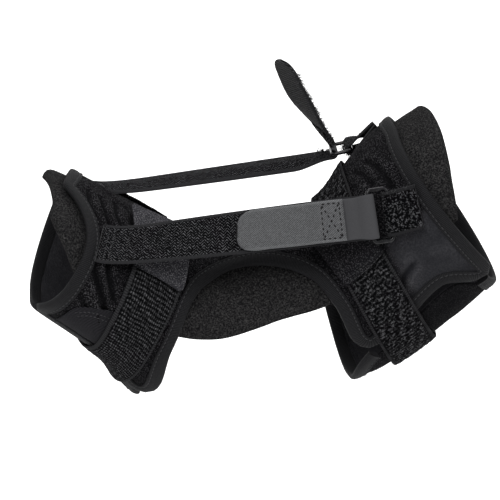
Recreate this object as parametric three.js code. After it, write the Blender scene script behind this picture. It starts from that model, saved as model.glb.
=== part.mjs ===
import * as THREE from "three";

// Plantar fasciitis night splint, worn form, without the foot.
// Millimetres. The toes point to -X and up, the shin to +X and up. The middle plane is y = 0.
// The near (inner) side of the right foot is -Y. The origin is where the foot's and leg's axes cross.

// Hollow that the foot and leg leave
const FOOT_REACH = 185;
const FOOT_PITCH = 40;
const FOOT_WIDTH = 88;
const FOOT_HEIGHT = 68;
const LEG_REACH = 220;
const LEG_PITCH = 42;
const LEG_WIDTH = 86;
const LEG_DEPTH = 98;
const ANKLE_RISE = 44;
const BEND_LEAN = 5;

// Thickness of the layers and the gap between them
const LINER_THICKNESS = 8;
const SHELL_THICKNESS = 3;
const TAPE_WIDTH = 8;
const TAPE_THICKNESS = 4;
const TAPE_ROUNDING = 1.5;
const TAPE_SETBACK = 1.3;
const WEBBING_THICKNESS = 1.8;
const TAB_THICKNESS = 2.2;
const PATCH_THICKNESS = 0.8;
const LAYER_GAP = 0.8;
const LINER_GAP = 1.6;
const SEWN_GAP = 0.5;

// Straps
const STRAP_WIDTH = 28;
const HOOK_TAB_WIDTH = 26;
const HOOK_TAB_LENGTH = 67;
const TAIL_BASE_PITCH = 50;
const TAIL_TIP_PITCH = 72;
const TAIL_TWIST = 26;
const TAIL_TWIST_LENGTH = 40;
const SEWN_OVERLAP = 15;
const RETURN_LENGTH = 17;
const TAB_DROP_LENGTH = 8;
const FOOT_ELASTIC_WIDTH = 36;
const FOOT_TAB_WIDTH = 38;
const CALF_ELASTIC_WIDTH = 34;
const CALF_TAB_WIDTH = 36;
const SOLE_PATCH_WIDTH = 48;
const BUCKLE_WIRE = 2.6;
const BUCKLE_LENGTH = 15;
const BUCKLE_SIDE_PLAY = 0.9;

const rad = THREE.MathUtils.degToRad;
const v3 = (x, y, z) => new THREE.Vector3(x, y, z);

// Lift of each layer's inner face above the hollow
const linerLift = 0;
const shellLift = linerLift + LINER_THICKNESS + LINER_GAP;
const shellTop = shellLift + SHELL_THICKNESS;
const sewnLift = shellTop + SEWN_GAP;
const elasticLift = shellLift + TAPE_THICKNESS + LAYER_GAP;
const elasticTop = elasticLift + WEBBING_THICKNESS;
const tabLift = elasticTop + LAYER_GAP;
const tabTop = tabLift + TAB_THICKNESS;
const overTabs = tabTop + LAYER_GAP + WEBBING_THICKNESS;

// Cross sections of the hollow, from the toes over the ankle to the shin.
// along: share of the arm's reach. lean: degrees the section's top tips towards +X.
// top, bottom: half heights, half: half width, as shares of half the arm's height and width.
const sections = [
  { arm: "foot", along: 1.045, lean: 21, top: 0.26, bottom: 0.92, half: 0.98 },
  { arm: "foot", along: 0.927, lean: 20, top: 0.62, bottom: 1.00, half: 1.02 },
  { arm: "foot", along: 0.619, lean: 25, top: 0.80, bottom: 1.10, half: 1.00 },
  { arm: "foot", along: 0.368, lean: 28, top: 1.12, bottom: 1.48, half: 0.88 },
  { arm: "bend", along: 1.000, lean: 0, top: 1.15, bottom: 1.60, half: 0.80 },
  { arm: "leg", along: 0.346, lean: -16, top: 0.90, bottom: 1.04, half: 0.86 },
  { arm: "leg", along: 0.575, lean: -30, top: 1.00, bottom: 1.08, half: 0.98 },
  { arm: "leg", along: 0.751, lean: -37, top: 1.00, bottom: 1.02, half: 1.04 },
  { arm: "leg", along: 0.861, lean: -41, top: 0.92, bottom: 1.04, half: 1.06 },
  { arm: "leg", along: 1.000, lean: -42, top: 0.80, bottom: 1.14, half: 1.08 },
];

const arms = {
  foot: { dir: v3(-Math.cos(rad(FOOT_PITCH)), 0, Math.sin(rad(FOOT_PITCH))), reach: FOOT_REACH,
    height: FOOT_HEIGHT, width: FOOT_WIDTH },
  bend: { dir: v3(Math.sin(rad(BEND_LEAN)), 0, Math.cos(rad(BEND_LEAN))), reach: ANKLE_RISE,
    height: FOOT_HEIGHT, width: FOOT_WIDTH },
  leg: { dir: v3(Math.cos(rad(LEG_PITCH)), 0, Math.sin(rad(LEG_PITCH))), reach: LEG_REACH,
    height: LEG_DEPTH, width: LEG_WIDTH },
};

const measured = sections.map((row) => {
  const arm = arms[row.arm];
  const centre = arm.dir.clone().multiplyScalar(row.along * arm.reach);
  return { x: centre.x, z: centre.z, lean: rad(row.lean), top: row.top * arm.height / 2,
    bottom: row.bottom * arm.height / 2, half: row.half * arm.width / 2 };
});

// Smooth value of one column between table rows
function blend(rows, key, t) {
  const last = rows.length - 1;
  const i = Math.min(Math.max(Math.floor(t), 0), last - 1);
  const f = t - i;
  const at = (k) => rows[Math.min(Math.max(k, 0), last)][key];
  const slope0 = (at(i + 1) - at(i - 1)) / (i > 0 ? 2 : 1);
  const slope1 = (at(i + 2) - at(i)) / (i + 1 < last ? 2 : 1);
  const f2 = f * f;
  const f3 = f2 * f;
  return at(i) * (2 * f3 - 3 * f2 + 1) + slope0 * (f3 - 2 * f2 + f)
    + at(i + 1) * (3 * f2 - 2 * f3) + slope1 * (f3 - f2);
}

const ROUNDNESS = 2.25;
const bulge = (value) => Math.sign(value) * Math.abs(value) ** (2 / ROUNDNESS);

// Point on the hollow at section t and phi degrees from the top towards the near side, lifted outwards
function onLimb(t, phi, lift) {
  const lean = blend(measured, "lean", t);
  const c = Math.cos(rad(phi));
  const s = Math.sin(rad(phi));
  const height = blend(measured, c >= 0 ? "top" : "bottom", t);
  const half = blend(measured, "half", t);
  const normal = new THREE.Vector2(bulge(s) * height, bulge(c) * half).normalize();
  const out = bulge(s) * half + normal.x * lift;
  const up = bulge(c) * height + normal.y * lift;
  const x = blend(measured, "x", t) + Math.sin(lean) * up;
  const z = blend(measured, "z", t) + Math.cos(lean) * up;
  return v3(x, -out, z);
}

const NUDGE = 0.02;

// Unit vectors at a place on the limb: along the limb, round it and outwards
function limbFrame(t, phi, lift) {
  const along = onLimb(t + NUDGE, phi, lift).sub(onLimb(t - NUDGE, phi, lift));
  const round = onLimb(t, phi + 0.5, lift).sub(onLimb(t, phi - 0.5, lift));
  const out = round.clone().cross(along).normalize();
  return { step: along.length() / (2 * NUDGE), roundStep: round.length(), along: along.normalize(),
    round: round.normalize(), out };
}

// Closed solid from a grid of points with an under side (0) and an upper side (1)
function gridSolid(columns, rows, place, loop = false) {
  const points = [];
  const index = (i, j, k) => ((loop ? i % columns : i) * (rows + 1) + j) * 2 + k;
  const count = loop ? columns : columns + 1;
  for (let i = 0; i < count; i += 1) {
    for (let j = 0; j <= rows; j += 1) {
      points.push(place(i, j, 0), place(i, j, 1));
    }
  }
  const faces = [];
  const quad = (a, b, c, d) => faces.push(a, b, c, a, c, d);
  for (let i = 0; i < columns; i += 1) {
    for (let j = 0; j < rows; j += 1) {
      quad(index(i, j, 1), index(i + 1, j, 1), index(i + 1, j + 1, 1), index(i, j + 1, 1));
      quad(index(i, j, 0), index(i, j + 1, 0), index(i + 1, j + 1, 0), index(i + 1, j, 0));
    }
    quad(index(i, 0, 0), index(i + 1, 0, 0), index(i + 1, 0, 1), index(i, 0, 1));
    quad(index(i, rows, 1), index(i + 1, rows, 1), index(i + 1, rows, 0), index(i, rows, 0));
  }
  if (!loop) {
    for (let j = 0; j < rows; j += 1) {
      quad(index(0, j, 1), index(0, j + 1, 1), index(0, j + 1, 0), index(0, j, 0));
      quad(index(columns, j, 0), index(columns, j + 1, 0), index(columns, j + 1, 1), index(columns, j, 1));
    }
  }
  return meshGeometry(points, faces);
}

// Geometry whose faces are turned outwards whichever way they were listed
function meshGeometry(points, faces) {
  let volume = 0;
  for (let i = 0; i < faces.length; i += 3) {
    volume += points[faces[i]].dot(points[faces[i + 1]].clone().cross(points[faces[i + 2]]));
  }
  if (volume < 0) {
    for (let i = 0; i < faces.length; i += 3) {
      [faces[i + 1], faces[i + 2]] = [faces[i + 2], faces[i + 1]];
    }
  }
  const geometry = new THREE.BufferGeometry();
  const numbers = points.flatMap((p) => [p.x, p.y, p.z]);
  geometry.setAttribute("position", new THREE.Float32BufferAttribute(numbers, 3));
  geometry.setIndex(faces);
  geometry.computeVertexNormals();
  return geometry;
}

// Swept solid through stations, each a list of section points; a loop closes on itself
function sweptSolid(stations, loop = false) {
  const sides = stations[0].length;
  const points = stations.flat();
  const faces = [];
  const last = loop ? stations.length : stations.length - 1;
  for (let i = 0; i < last; i += 1) {
    const next = (i + 1) % stations.length;
    for (let j = 0; j < sides; j += 1) {
      const k = (j + 1) % sides;
      faces.push(i * sides + j, next * sides + j, next * sides + k);
      faces.push(i * sides + j, next * sides + k, i * sides + k);
    }
  }
  if (!loop) {
    const end = (stations.length - 1) * sides;
    for (let j = 1; j < sides - 1; j += 1) {
      faces.push(0, j, j + 1, end, end + j + 1, end + j);
    }
  }
  return meshGeometry(points, faces);
}

// Cut of the shell and liner on the limb, a row for each stage from toes to shin.
// middle: section number on the top line. nearShift, farShift: how far the side edges lie ahead of it.
// bow: how far the row bends back halfway down each side. near, far: degrees that the sides reach.
const shellRows = [
  { middle: 1.08, nearShift: -0.02, farShift: -0.02, bow: 0.29, near: 134, far: 206 },
  { middle: 1.80, nearShift: 0.05, farShift: 0.05, bow: 0.10, near: 135, far: 206 },
  { middle: 2.12, nearShift: 0.62, farShift: 0.62, bow: 0.00, near: 134, far: 205 },
  { middle: 2.40, nearShift: 0.18, farShift: 0.24, bow: 0.00, near: 97, far: 140 },
  { middle: 2.70, nearShift: -0.16, farShift: -0.12, bow: 0.00, near: 60, far: 72 },
  { middle: 3.00, nearShift: -0.28, farShift: -0.28, bow: 0.00, near: 33, far: 38 },
  { middle: 3.40, nearShift: -0.20, farShift: -0.20, bow: 0.00, near: 17, far: 21 },
  { middle: 4.10, nearShift: 0.00, farShift: 0.00, bow: 0.00, near: 25, far: 28 },
  { middle: 4.75, nearShift: -0.10, farShift: -0.10, bow: 0.00, near: 43, far: 46 },
  { middle: 4.98, nearShift: -0.07, farShift: -0.10, bow: 0.00, near: 72, far: 88 },
  { middle: 5.12, nearShift: -0.10, farShift: -0.25, bow: 0.00, near: 100, far: 190 },
  { middle: 5.40, nearShift: -0.15, farShift: -0.30, bow: 0.00, near: 101, far: 238 },
  { middle: 6.20, nearShift: 0.00, farShift: 0.00, bow: -0.05, near: 96, far: 252 },
  { middle: 6.85, nearShift: -0.08, farShift: -0.24, bow: -0.12, near: 114, far: 237 },
];
const linerRows = [
  { middle: 0.72, nearShift: -0.14, farShift: -0.14, bow: 0.00, near: 30, far: 30 },
  { middle: 0.86, nearShift: 0.12, farShift: 0.12, bow: 0.00, near: 63, far: 63 },
  { middle: 1.10, nearShift: 0.14, farShift: 0.14, bow: 0.00, near: 88, far: 88 },
  { middle: 1.70, nearShift: 0.00, farShift: 0.00, bow: 0.00, near: 98, far: 98 },
  { middle: 2.80, nearShift: 0.00, farShift: 0.00, bow: 0.00, near: 87, far: 87 },
  { middle: 3.50, nearShift: 0.00, farShift: 0.00, bow: 0.00, near: 87, far: 87 },
  { middle: 4.30, nearShift: 0.00, farShift: 0.00, bow: 0.00, near: 79, far: 79 },
  { middle: 5.10, nearShift: 0.00, farShift: 0.00, bow: 0.00, near: 74, far: 74 },
  { middle: 6.80, nearShift: 0.00, farShift: 0.00, bow: 0.00, near: 80, far: 80 },
  { middle: 7.75, nearShift: -0.60, farShift: -0.60, bow: 0.00, near: 76, far: 76 },
  { middle: 8.20, nearShift: -0.35, farShift: -0.35, bow: 0.00, near: 44, far: 44 },
];
const BOW_LEAD = 0.75;

// Place in a cut: row r of the table and side from -1 (far edge) to 1 (near edge)
function inCut(rows, r, side) {
  const reach = Math.abs(side);
  const shift = blend(rows, side >= 0 ? "nearShift" : "farShift", r);
  const phi = side * blend(rows, side >= 0 ? "near" : "far", r);
  const bow = blend(rows, "bow", r) * Math.sin(Math.PI * reach ** BOW_LEAD);
  const t = blend(rows, "middle", r) + shift * reach * reach + bow;
  return { t, phi };
}

function cutSolid(rows, perRow, across, lift, thickness) {
  const along = (rows.length - 1) * perRow;
  return gridSolid(along, across, (i, j, k) => {
    const { t, phi } = inCut(rows, i / perRow, 2 * j / across - 1);
    return onLimb(t, phi, lift + k * thickness);
  });
}

const MOST_MITRE = 2;

// Edge tape outside a run of cut edge points, each with row r and side, following the limb
function edgeTape(rows, run) {
  const places = run.map(([r, side]) => inCut(rows, r, side));
  const base = places.map(({ t, phi }) => onLimb(t, phi, shellLift));
  const stations = base.map((point, i) => {
    const { t, phi } = places[i];
    const frame = limbFrame(t, phi, shellLift);
    const away = (from, to) => to.clone().sub(from).cross(frame.out).normalize();
    const first = i > 0 ? away(base[i - 1], point) : away(point, base[i + 1]);
    const second = i < base.length - 1 ? away(point, base[i + 1]) : first;
    const side = first.clone().add(second).normalize();
    const mitre = 1 / Math.max(side.dot(first), 1 / MOST_MITRE);
    const slant = frame.along.dot(frame.round);
    const alongShare = (side.dot(frame.along) - slant * side.dot(frame.round)) / (1 - slant * slant);
    const roundShare = (side.dot(frame.round) - slant * side.dot(frame.along)) / (1 - slant * slant);
    const corner = (across, up) => onLimb(t + across * mitre * alongShare / frame.step,
      phi + across * mitre * roundShare / frame.roundStep, shellLift + up * TAPE_THICKNESS);
    return [corner(TAPE_SETBACK, 0), corner(TAPE_WIDTH - TAPE_ROUNDING, 0), corner(TAPE_WIDTH, 0.5),
      corner(TAPE_WIDTH - TAPE_ROUNDING, 1), corner(TAPE_SETBACK, 1)];
  });
  return sweptSolid(stations);
}

// Run of cut edge places between two ends, in equal steps
function edgeRun(steps, from, to) {
  return Array.from({ length: steps + 1 }, (_, i) => [
    from[0] + (to[0] - from[0]) * i / steps,
    from[1] + (to[1] - from[1]) * i / steps,
  ]);
}

// Band lying on the limb along a table of phi and t
function limbBand(rows, perRow, width, lift, thickness) {
  const along = (rows.length - 1) * perRow;
  return gridSolid(along, 2, (i, j, k) => {
    const r = i / perRow;
    const phi = blend(rows, "phi", r);
    const t = blend(rows, "t", r);
    const wide = rows[0].wide === undefined ? 1 : blend(rows, "wide", r);
    const { step } = limbFrame(t, phi, lift);
    return onLimb(t + (j - 1) * wide * width / 2 / step, phi, lift + k * thickness);
  });
}

// Free band through points, each with its width direction, outward direction and share of the width
function freeBand(stops, width, thickness) {
  return gridSolid(stops.length - 1, 1, (i, j, k) => stops[i].point.clone()
    .addScaledVector(stops[i].across, (j - 0.5) * width * (stops[i].wide ?? 1))
    .addScaledVector(stops[i].out, k * thickness));
}

const colours = { plush: 0x161618, tape: 0x1a1a1c, foam: 0x19191b, webbing: 0x1d1d1f, hook: 0x3a3b3f,
  metal: 0x232325 };

const splint = new THREE.Group();
function add(name, geometry, colour, roughness = 0.95, metalness = 0) {
  const material = new THREE.MeshStandardMaterial({ color: colour, roughness, metalness });
  const mesh = new THREE.Mesh(geometry, material);
  mesh.name = name;
  splint.add(mesh);
  return mesh;
}

const perRow = 3;
const acrossLiner = 20;
const acrossShell = 32;
add("liner_pad", cutSolid(linerRows, perRow, acrossLiner, linerLift, LINER_THICKNESS), colours.foam);
add("shell", cutSolid(shellRows, perRow, acrossShell, shellLift, SHELL_THICKNESS), colours.plush);

// Rows of the shell's cut where the far wings' end edges meet the far waist
const shellLast = shellRows.length - 1;
const farSoleEnd = 2;
const farCalfEnd = 11;
add("edge_tape_main", edgeTape(shellRows, [
  ...edgeRun(farSoleEnd * perRow, [farSoleEnd, -1], [0, -1]),
  ...edgeRun(acrossShell, [0, -1], [0, 1]).slice(1),
  ...edgeRun(shellLast * perRow, [0, 1], [shellLast, 1]).slice(1),
  ...edgeRun(acrossShell, [shellLast, 1], [shellLast, -1]).slice(1),
]), colours.tape);
const waistFrom = farSoleEnd + 1 / perRow;
const waistRun = edgeRun((farCalfEnd - waistFrom) * perRow, [farCalfEnd, -1], [waistFrom, -1]);
add("edge_tape_far_waist", edgeTape(shellRows, waistRun), colours.tape);

// Straps that lie on the shell: a row for each stage round the limb
const footElasticRows = [
  { phi: 40, t: 2.14 }, { phi: 90, t: 2.08 }, { phi: 130, t: 2.12 }, { phi: 180, t: 2.08 },
  { phi: 230, t: 2.10 }, { phi: 270, t: 2.12 }, { phi: 316, t: 2.16 },
];
const footTabRows = [
  { phi: -4, t: 2.12, wide: 0.7 }, { phi: 2, t: 2.12, wide: 1.0 }, { phi: 48, t: 2.12, wide: 1.0 },
  { phi: 56, t: 2.10, wide: 0.9 },
];
const calfElasticRows = [
  { phi: 54, t: 5.33 }, { phi: 95, t: 5.42 }, { phi: 135, t: 5.47 }, { phi: 180, t: 5.50 },
  { phi: 240, t: 5.46 }, { phi: 300, t: 5.38 }, { phi: 360, t: 5.28 }, { phi: 394, t: 5.18 },
];
const calfTabRows = [
  { phi: 22, t: 5.14, wide: 0.8 }, { phi: 28, t: 5.15, wide: 1.0 }, { phi: 62, t: 5.34, wide: 1.0 },
];
const solePatchRows = [
  { phi: 91, t: 1.84, wide: 0.3 }, { phi: 97, t: 1.74, wide: 0.7 }, { phi: 106, t: 1.66, wide: 0.92 },
  { phi: 130, t: 1.62, wide: 1.0 },
];
add("sole_patch", limbBand(solePatchRows, 4, SOLE_PATCH_WIDTH, sewnLift, PATCH_THICKNESS), colours.tape);
add("foot_elastic_strap", limbBand(footElasticRows, 6, FOOT_ELASTIC_WIDTH, elasticLift, WEBBING_THICKNESS),
  colours.webbing);
add("foot_strap_tab", limbBand(footTabRows, 3, FOOT_TAB_WIDTH, tabLift, TAB_THICKNESS), colours.plush);
add("calf_elastic_strap", limbBand(calfElasticRows, 7, CALF_ELASTIC_WIDTH, elasticLift, WEBBING_THICKNESS),
  colours.webbing);
add("calf_strap_tab", limbBand(calfTabRows, 3, CALF_TAB_WIDTH, tabLift, TAB_THICKNESS), colours.plush);

// Height that the pulled far tail lifts its buckle
const FAR_BUCKLE_RISE = 3;

// Sections of the foot that a tension strap is sewn down over
const FOOT_SEAM_SHARE = 0.12;

// Places of each tension strap: where it is sewn to the foot and shin, and its buckle
const nearStrap = { footT: 1.39, footPhi: 50, buckleT: 5.97, shinPhi: 45, anchorT: 6.64, anchorPhi: 56,
  roll: 0, buckleLift: overTabs + BUCKLE_WIRE / 2 };
const farStrap = { footT: 1.55, footPhi: -48, buckleT: 5.80, shinPhi: -48, anchorT: 6.62, anchorPhi: -52,
  roll: 38, buckleLift: overTabs + BUCKLE_WIRE / 2 + FAR_BUCKLE_RISE };

// Buckle place: middle point and unit vectors along the strap, across it and outwards
function buckleFrame(strap) {
  const start = onLimb(strap.footT, strap.footPhi, overTabs);
  const middle = onLimb(strap.buckleT, strap.shinPhi, strap.buckleLift);
  const end = onLimb(strap.anchorT, strap.anchorPhi, shellTop);
  const run = middle.clone().sub(start).normalize().lerp(end.sub(middle).normalize(), 0.5).normalize();
  const { out } = limbFrame(strap.buckleT, strap.shinPhi, strap.buckleLift);
  const across = out.cross(run).normalize().applyAxisAngle(run, rad(strap.roll));
  return { middle, run, across, out: run.clone().cross(across).normalize() };
}

const buckleInner = STRAP_WIDTH + 2 * BUCKLE_SIDE_PLAY;
const barOffset = (BUCKLE_LENGTH - BUCKLE_WIRE) / 2;
const turnRadius = BUCKLE_WIRE / 2 + LAYER_GAP;

// Wire loop with rounded corners
function buckleLoop(frame) {
  const halfRun = barOffset;
  const halfAcross = (buckleInner + BUCKLE_WIRE) / 2;
  const corner = BUCKLE_WIRE;
  const stations = [];
  const cornerSteps = 3;
  const sides = 8;
  for (let q = 0; q < 4; q += 1) {
    const signRun = q === 0 || q === 3 ? 1 : -1;
    const signAcross = q < 2 ? 1 : -1;
    for (let k = 0; k <= cornerSteps; k += 1) {
      const angle = (q + k / cornerSteps) * Math.PI / 2;
      const away = frame.run.clone().multiplyScalar(Math.cos(angle))
        .addScaledVector(frame.across, Math.sin(angle));
      const centre = frame.middle.clone().addScaledVector(frame.run, signRun * (halfRun - corner))
        .addScaledVector(frame.across, signAcross * (halfAcross - corner)).addScaledVector(away, corner);
      stations.push(Array.from({ length: sides }, (_, j) => {
        const turn = j / sides * 2 * Math.PI;
        return centre.clone().addScaledVector(away, Math.cos(turn) * BUCKLE_WIRE / 2)
          .addScaledVector(frame.out, Math.sin(turn) * BUCKLE_WIRE / 2);
      }));
    }
  }
  return sweptSolid(stations, true);
}

// Stops of a half turn round a buckle bar, from the side under it to the side over it
const TURN_STEPS = 6;
function barTurn(frame, towards) {
  const bar = frame.middle.clone().addScaledVector(frame.run, -towards * barOffset);
  return Array.from({ length: TURN_STEPS + 1 }, (_, k) => {
    const angle = -Math.PI / 2 + k / TURN_STEPS * Math.PI;
    const out = frame.run.clone().multiplyScalar(Math.cos(angle) * towards)
      .addScaledVector(frame.out, Math.sin(angle));
    return { point: bar.clone().addScaledVector(out, turnRadius), across: frame.across, out };
  });
}

const STRAP_STEPS = 16;
const ANCHOR_STEPS = 4;

// Line from one point to another in equal steps, its width turning from one direction to the other
function straightRun(from, to, steps, first = 0) {
  return Array.from({ length: steps + 1 - first }, (_, i) => {
    const f = (i + first) / steps;
    const across = from.across.clone().lerp(to.across, f).normalize();
    const out = from.out.clone().lerp(to.out, f).normalize();
    return { point: from.point.clone().lerp(to.point, f), across, out };
  });
}

// Place of a strap lying over the foot
function footStop(strap, t, lift) {
  const { out, along } = limbFrame(t, strap.footPhi, lift);
  return { point: onLimb(t, strap.footPhi, lift), across: out.clone().cross(along).negate().normalize(),
    out: out.clone().negate() };
}

// Stops from the stitched end on the foot to the buckle and round its bar
function tensionStrap(strap, frame) {
  const turn = barTurn(frame, 1);
  const sewn = footStop(strap, strap.footT, sewnLift + WEBBING_THICKNESS);
  const bend = footStop(strap, strap.footT + FOOT_SEAM_SHARE, sewnLift + WEBBING_THICKNESS + LAYER_GAP);
  [sewn, bend].forEach((stop) => stop.across.multiplyScalar(Math.sign(stop.across.dot(frame.across))));
  return { stops: [sewn, ...straightRun(bend, turn[0], STRAP_STEPS), ...turn.slice(1)], bend, turn };
}

function buildStrap(side, strap, frame, tail) {
  const { stops, bend, turn } = tensionStrap(strap, frame);
  const run = [...stops, ...tail.strap(bend, turn)];
  add(`${side}_tension_strap`, freeBand(run, STRAP_WIDTH, WEBBING_THICKNESS), colours.webbing);
  add(`${side}_hook_tab`, freeBand(tail.tab(bend, turn), HOOK_TAB_WIDTH, TAB_THICKNESS), colours.hook, 0.8);
  add(`${side}_buckle`, buckleLoop(frame), colours.metal, 0.3, 0.6);
  const hold = barTurn(frame, -1);
  const anchorOut = limbFrame(strap.anchorT, strap.anchorPhi, shellTop).out;
  const sewn = onLimb(strap.anchorT, strap.anchorPhi, sewnLift + WEBBING_THICKNESS);
  const across = anchorOut.clone().cross(sewn.clone().sub(frame.middle)).normalize();
  const anchor = { point: sewn, across, out: anchorOut.clone().negate() };
  const over = { point: sewn.clone().addScaledVector(anchorOut, LAYER_GAP), across, out: anchorOut };
  const lower = straightRun(anchor, hold[0], ANCHOR_STEPS).slice(0, -1);
  const upper = straightRun(hold[hold.length - 1], over, ANCHOR_STEPS, 1);
  add(`${side}_buckle_anchor`, freeBand([...lower, ...hold, ...upper], STRAP_WIDTH, WEBBING_THICKNESS),
    colours.webbing);
}

// Tip shares of the width for a rounded end, from the full width to the tip
const tipShares = [[0.30, 0.98], [0.20, 0.92], [0.11, 0.80], [0.04, 0.60], [0, 0.36]];

const nearFrame = buckleFrame(nearStrap);
const farFrame = buckleFrame(farStrap);

// Place over a tension strap, at a distance back from its buckle and a height above it
function overStrap(bend, turn, distance, height) {
  const f = distance / turn[0].point.distanceTo(bend.point);
  const out = turn[0].out.clone().lerp(bend.out, f).normalize().negate();
  return { point: turn[0].point.clone().lerp(bend.point, f).addScaledVector(out, height),
    across: turn[0].across.clone().lerp(bend.across, f).normalize(), out };
}

// Near tail: back over the strap, with the hook tab sewn on its end and pressed down
const tailShare = HOOK_TAB_WIDTH / STRAP_WIDTH;
const tabStart = RETURN_LENGTH;
const tabDown = RETURN_LENGTH + SEWN_OVERLAP + TAB_DROP_LENGTH;
const tabEnd = RETURN_LENGTH + HOOK_TAB_LENGTH;
buildStrap("near", nearStrap, nearFrame, {
  strap: (bend, turn) => [RETURN_LENGTH / 2, tabStart, tabStart + SEWN_OVERLAP]
    .map((distance) => ({ ...overStrap(bend, turn, distance, LAYER_GAP), wide: tailShare })),
  tab: (bend, turn) => [
    overStrap(bend, turn, tabStart, 2 * LAYER_GAP + WEBBING_THICKNESS),
    overStrap(bend, turn, tabStart + SEWN_OVERLAP + LAYER_GAP, 2 * LAYER_GAP + WEBBING_THICKNESS),
    overStrap(bend, turn, tabDown, LAYER_GAP),
    overStrap(bend, turn, (tabDown + tabEnd) / 2, LAYER_GAP),
    ...tipShares.map(([share, wide]) => (
      { ...overStrap(bend, turn, tabEnd - share * HOOK_TAB_WIDTH, LAYER_GAP), wide })),
  ],
});

// Far tail: lifted off the strap and bending upwards, its hook tab sewn on its end and turned to the near side
const TAIL_START = 3;
const TAB_LEAD = 3;
const farTabStart = TAIL_START + TAB_LEAD;
const farTabEnd = farTabStart + HOOK_TAB_LENGTH;
const basePitch = rad(TAIL_BASE_PITCH);
const pitchTurn = rad(TAIL_TIP_PITCH - TAIL_BASE_PITCH) / farTabEnd;
function onTail(turn, distance, height) {
  const pitch = basePitch + pitchTurn * distance;
  const run = v3(-Math.cos(pitch), 0, Math.sin(pitch));
  const bent = v3(Math.sin(basePitch) - Math.sin(pitch), 0, Math.cos(basePitch) - Math.cos(pitch));
  const start = turn[turn.length - 1];
  const across = farFrame.across.clone().addScaledVector(run, -farFrame.across.dot(run)).normalize()
    .applyAxisAngle(run, rad(TAIL_TWIST) * Math.min(distance / TAIL_TWIST_LENGTH, 1));
  const out = run.clone().cross(across).normalize();
  out.multiplyScalar(Math.sign(out.dot(start.out)));
  const point = start.point.clone().addScaledVector(bent, 1 / pitchTurn).addScaledVector(out, height);
  return { point, across, out };
}
const tabHeight = WEBBING_THICKNESS + SEWN_GAP;
buildStrap("far", farStrap, farFrame, {
  strap: (bend, turn) => [0, 0.5, 1].map((share) => (
    { ...onTail(turn, TAIL_START + share * SEWN_OVERLAP, 0), wide: tailShare })),
  tab: (bend, turn) => [
    ...[farTabStart, TAIL_START + SEWN_OVERLAP / 2, TAIL_START + SEWN_OVERLAP, TAIL_TWIST_LENGTH / 1.5,
      TAIL_TWIST_LENGTH, farTabEnd - HOOK_TAB_WIDTH / 2].map((distance) => onTail(turn, distance, tabHeight)),
    ...tipShares.map(([share, wide]) => (
      { ...onTail(turn, farTabEnd - share * HOOK_TAB_WIDTH, tabHeight), wide })),
  ],
});

export default splint;
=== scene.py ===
import math

import bpy
import numpy as np
from mathutils import Matrix, Vector


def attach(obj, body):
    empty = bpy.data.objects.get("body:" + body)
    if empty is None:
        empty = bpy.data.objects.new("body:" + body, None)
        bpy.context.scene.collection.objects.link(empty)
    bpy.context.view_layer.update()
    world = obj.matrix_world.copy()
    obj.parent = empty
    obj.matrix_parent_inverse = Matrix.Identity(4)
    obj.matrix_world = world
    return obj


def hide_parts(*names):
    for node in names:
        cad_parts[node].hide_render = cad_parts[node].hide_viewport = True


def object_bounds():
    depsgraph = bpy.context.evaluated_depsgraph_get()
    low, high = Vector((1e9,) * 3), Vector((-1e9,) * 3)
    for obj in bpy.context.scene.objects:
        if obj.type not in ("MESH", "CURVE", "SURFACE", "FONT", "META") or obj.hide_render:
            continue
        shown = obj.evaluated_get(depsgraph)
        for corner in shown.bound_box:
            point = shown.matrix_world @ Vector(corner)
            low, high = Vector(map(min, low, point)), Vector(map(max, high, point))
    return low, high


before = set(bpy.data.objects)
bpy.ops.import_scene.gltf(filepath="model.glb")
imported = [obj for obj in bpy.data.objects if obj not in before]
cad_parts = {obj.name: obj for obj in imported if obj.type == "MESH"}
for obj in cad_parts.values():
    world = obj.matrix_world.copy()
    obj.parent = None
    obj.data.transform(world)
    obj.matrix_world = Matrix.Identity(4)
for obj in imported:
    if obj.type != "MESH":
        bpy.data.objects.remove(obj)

CAD_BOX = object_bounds()
MM = 0.001

# Hollow that the foot and leg leave
FOOT_REACH = 185 * MM
FOOT_PITCH = 40
FOOT_WIDTH = 88 * MM
FOOT_HEIGHT = 68 * MM
LEG_REACH = 220 * MM
LEG_PITCH = 42
LEG_WIDTH = 86 * MM
LEG_DEPTH = 98 * MM
ANKLE_RISE = 44 * MM
BEND_LEAN = 5
ROUNDNESS = 2.25

# Thickness of the layers and the gap between them
LINER_THICKNESS = 8 * MM
SHELL_THICKNESS = 3 * MM
TAPE_WIDTH = 8 * MM
TAPE_THICKNESS = 4 * MM
WEBBING_THICKNESS = 1.8 * MM
TAB_THICKNESS = 2.2 * MM
PATCH_THICKNESS = 0.8 * MM
LAYER_GAP = 0.8 * MM
LINER_GAP = 1.6 * MM
SEWN_GAP = 0.5 * MM

# Straps
STRAP_WIDTH = 28 * MM
HOOK_TAB_WIDTH = 26 * MM
HOOK_TAB_LENGTH = 67 * MM
TAIL_BASE_PITCH = 50
TAIL_TIP_PITCH = 72
TAIL_TWIST = 26
TAIL_TWIST_LENGTH = 40 * MM
SEWN_OVERLAP = 15 * MM
RETURN_LENGTH = 17 * MM
TAB_DROP_LENGTH = 8 * MM
FOOT_ELASTIC_WIDTH = 36 * MM
FOOT_TAB_WIDTH = 38 * MM
CALF_ELASTIC_WIDTH = 34 * MM
CALF_TAB_WIDTH = 36 * MM
SOLE_PATCH_WIDTH = 48 * MM

# Buckles
BUCKLE_WIRE = 2.6 * MM
BUCKLE_LENGTH = 15 * MM
BUCKLE_SIDE_PLAY = 0.9 * MM
FAR_BUCKLE_RISE = 3 * MM

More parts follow.
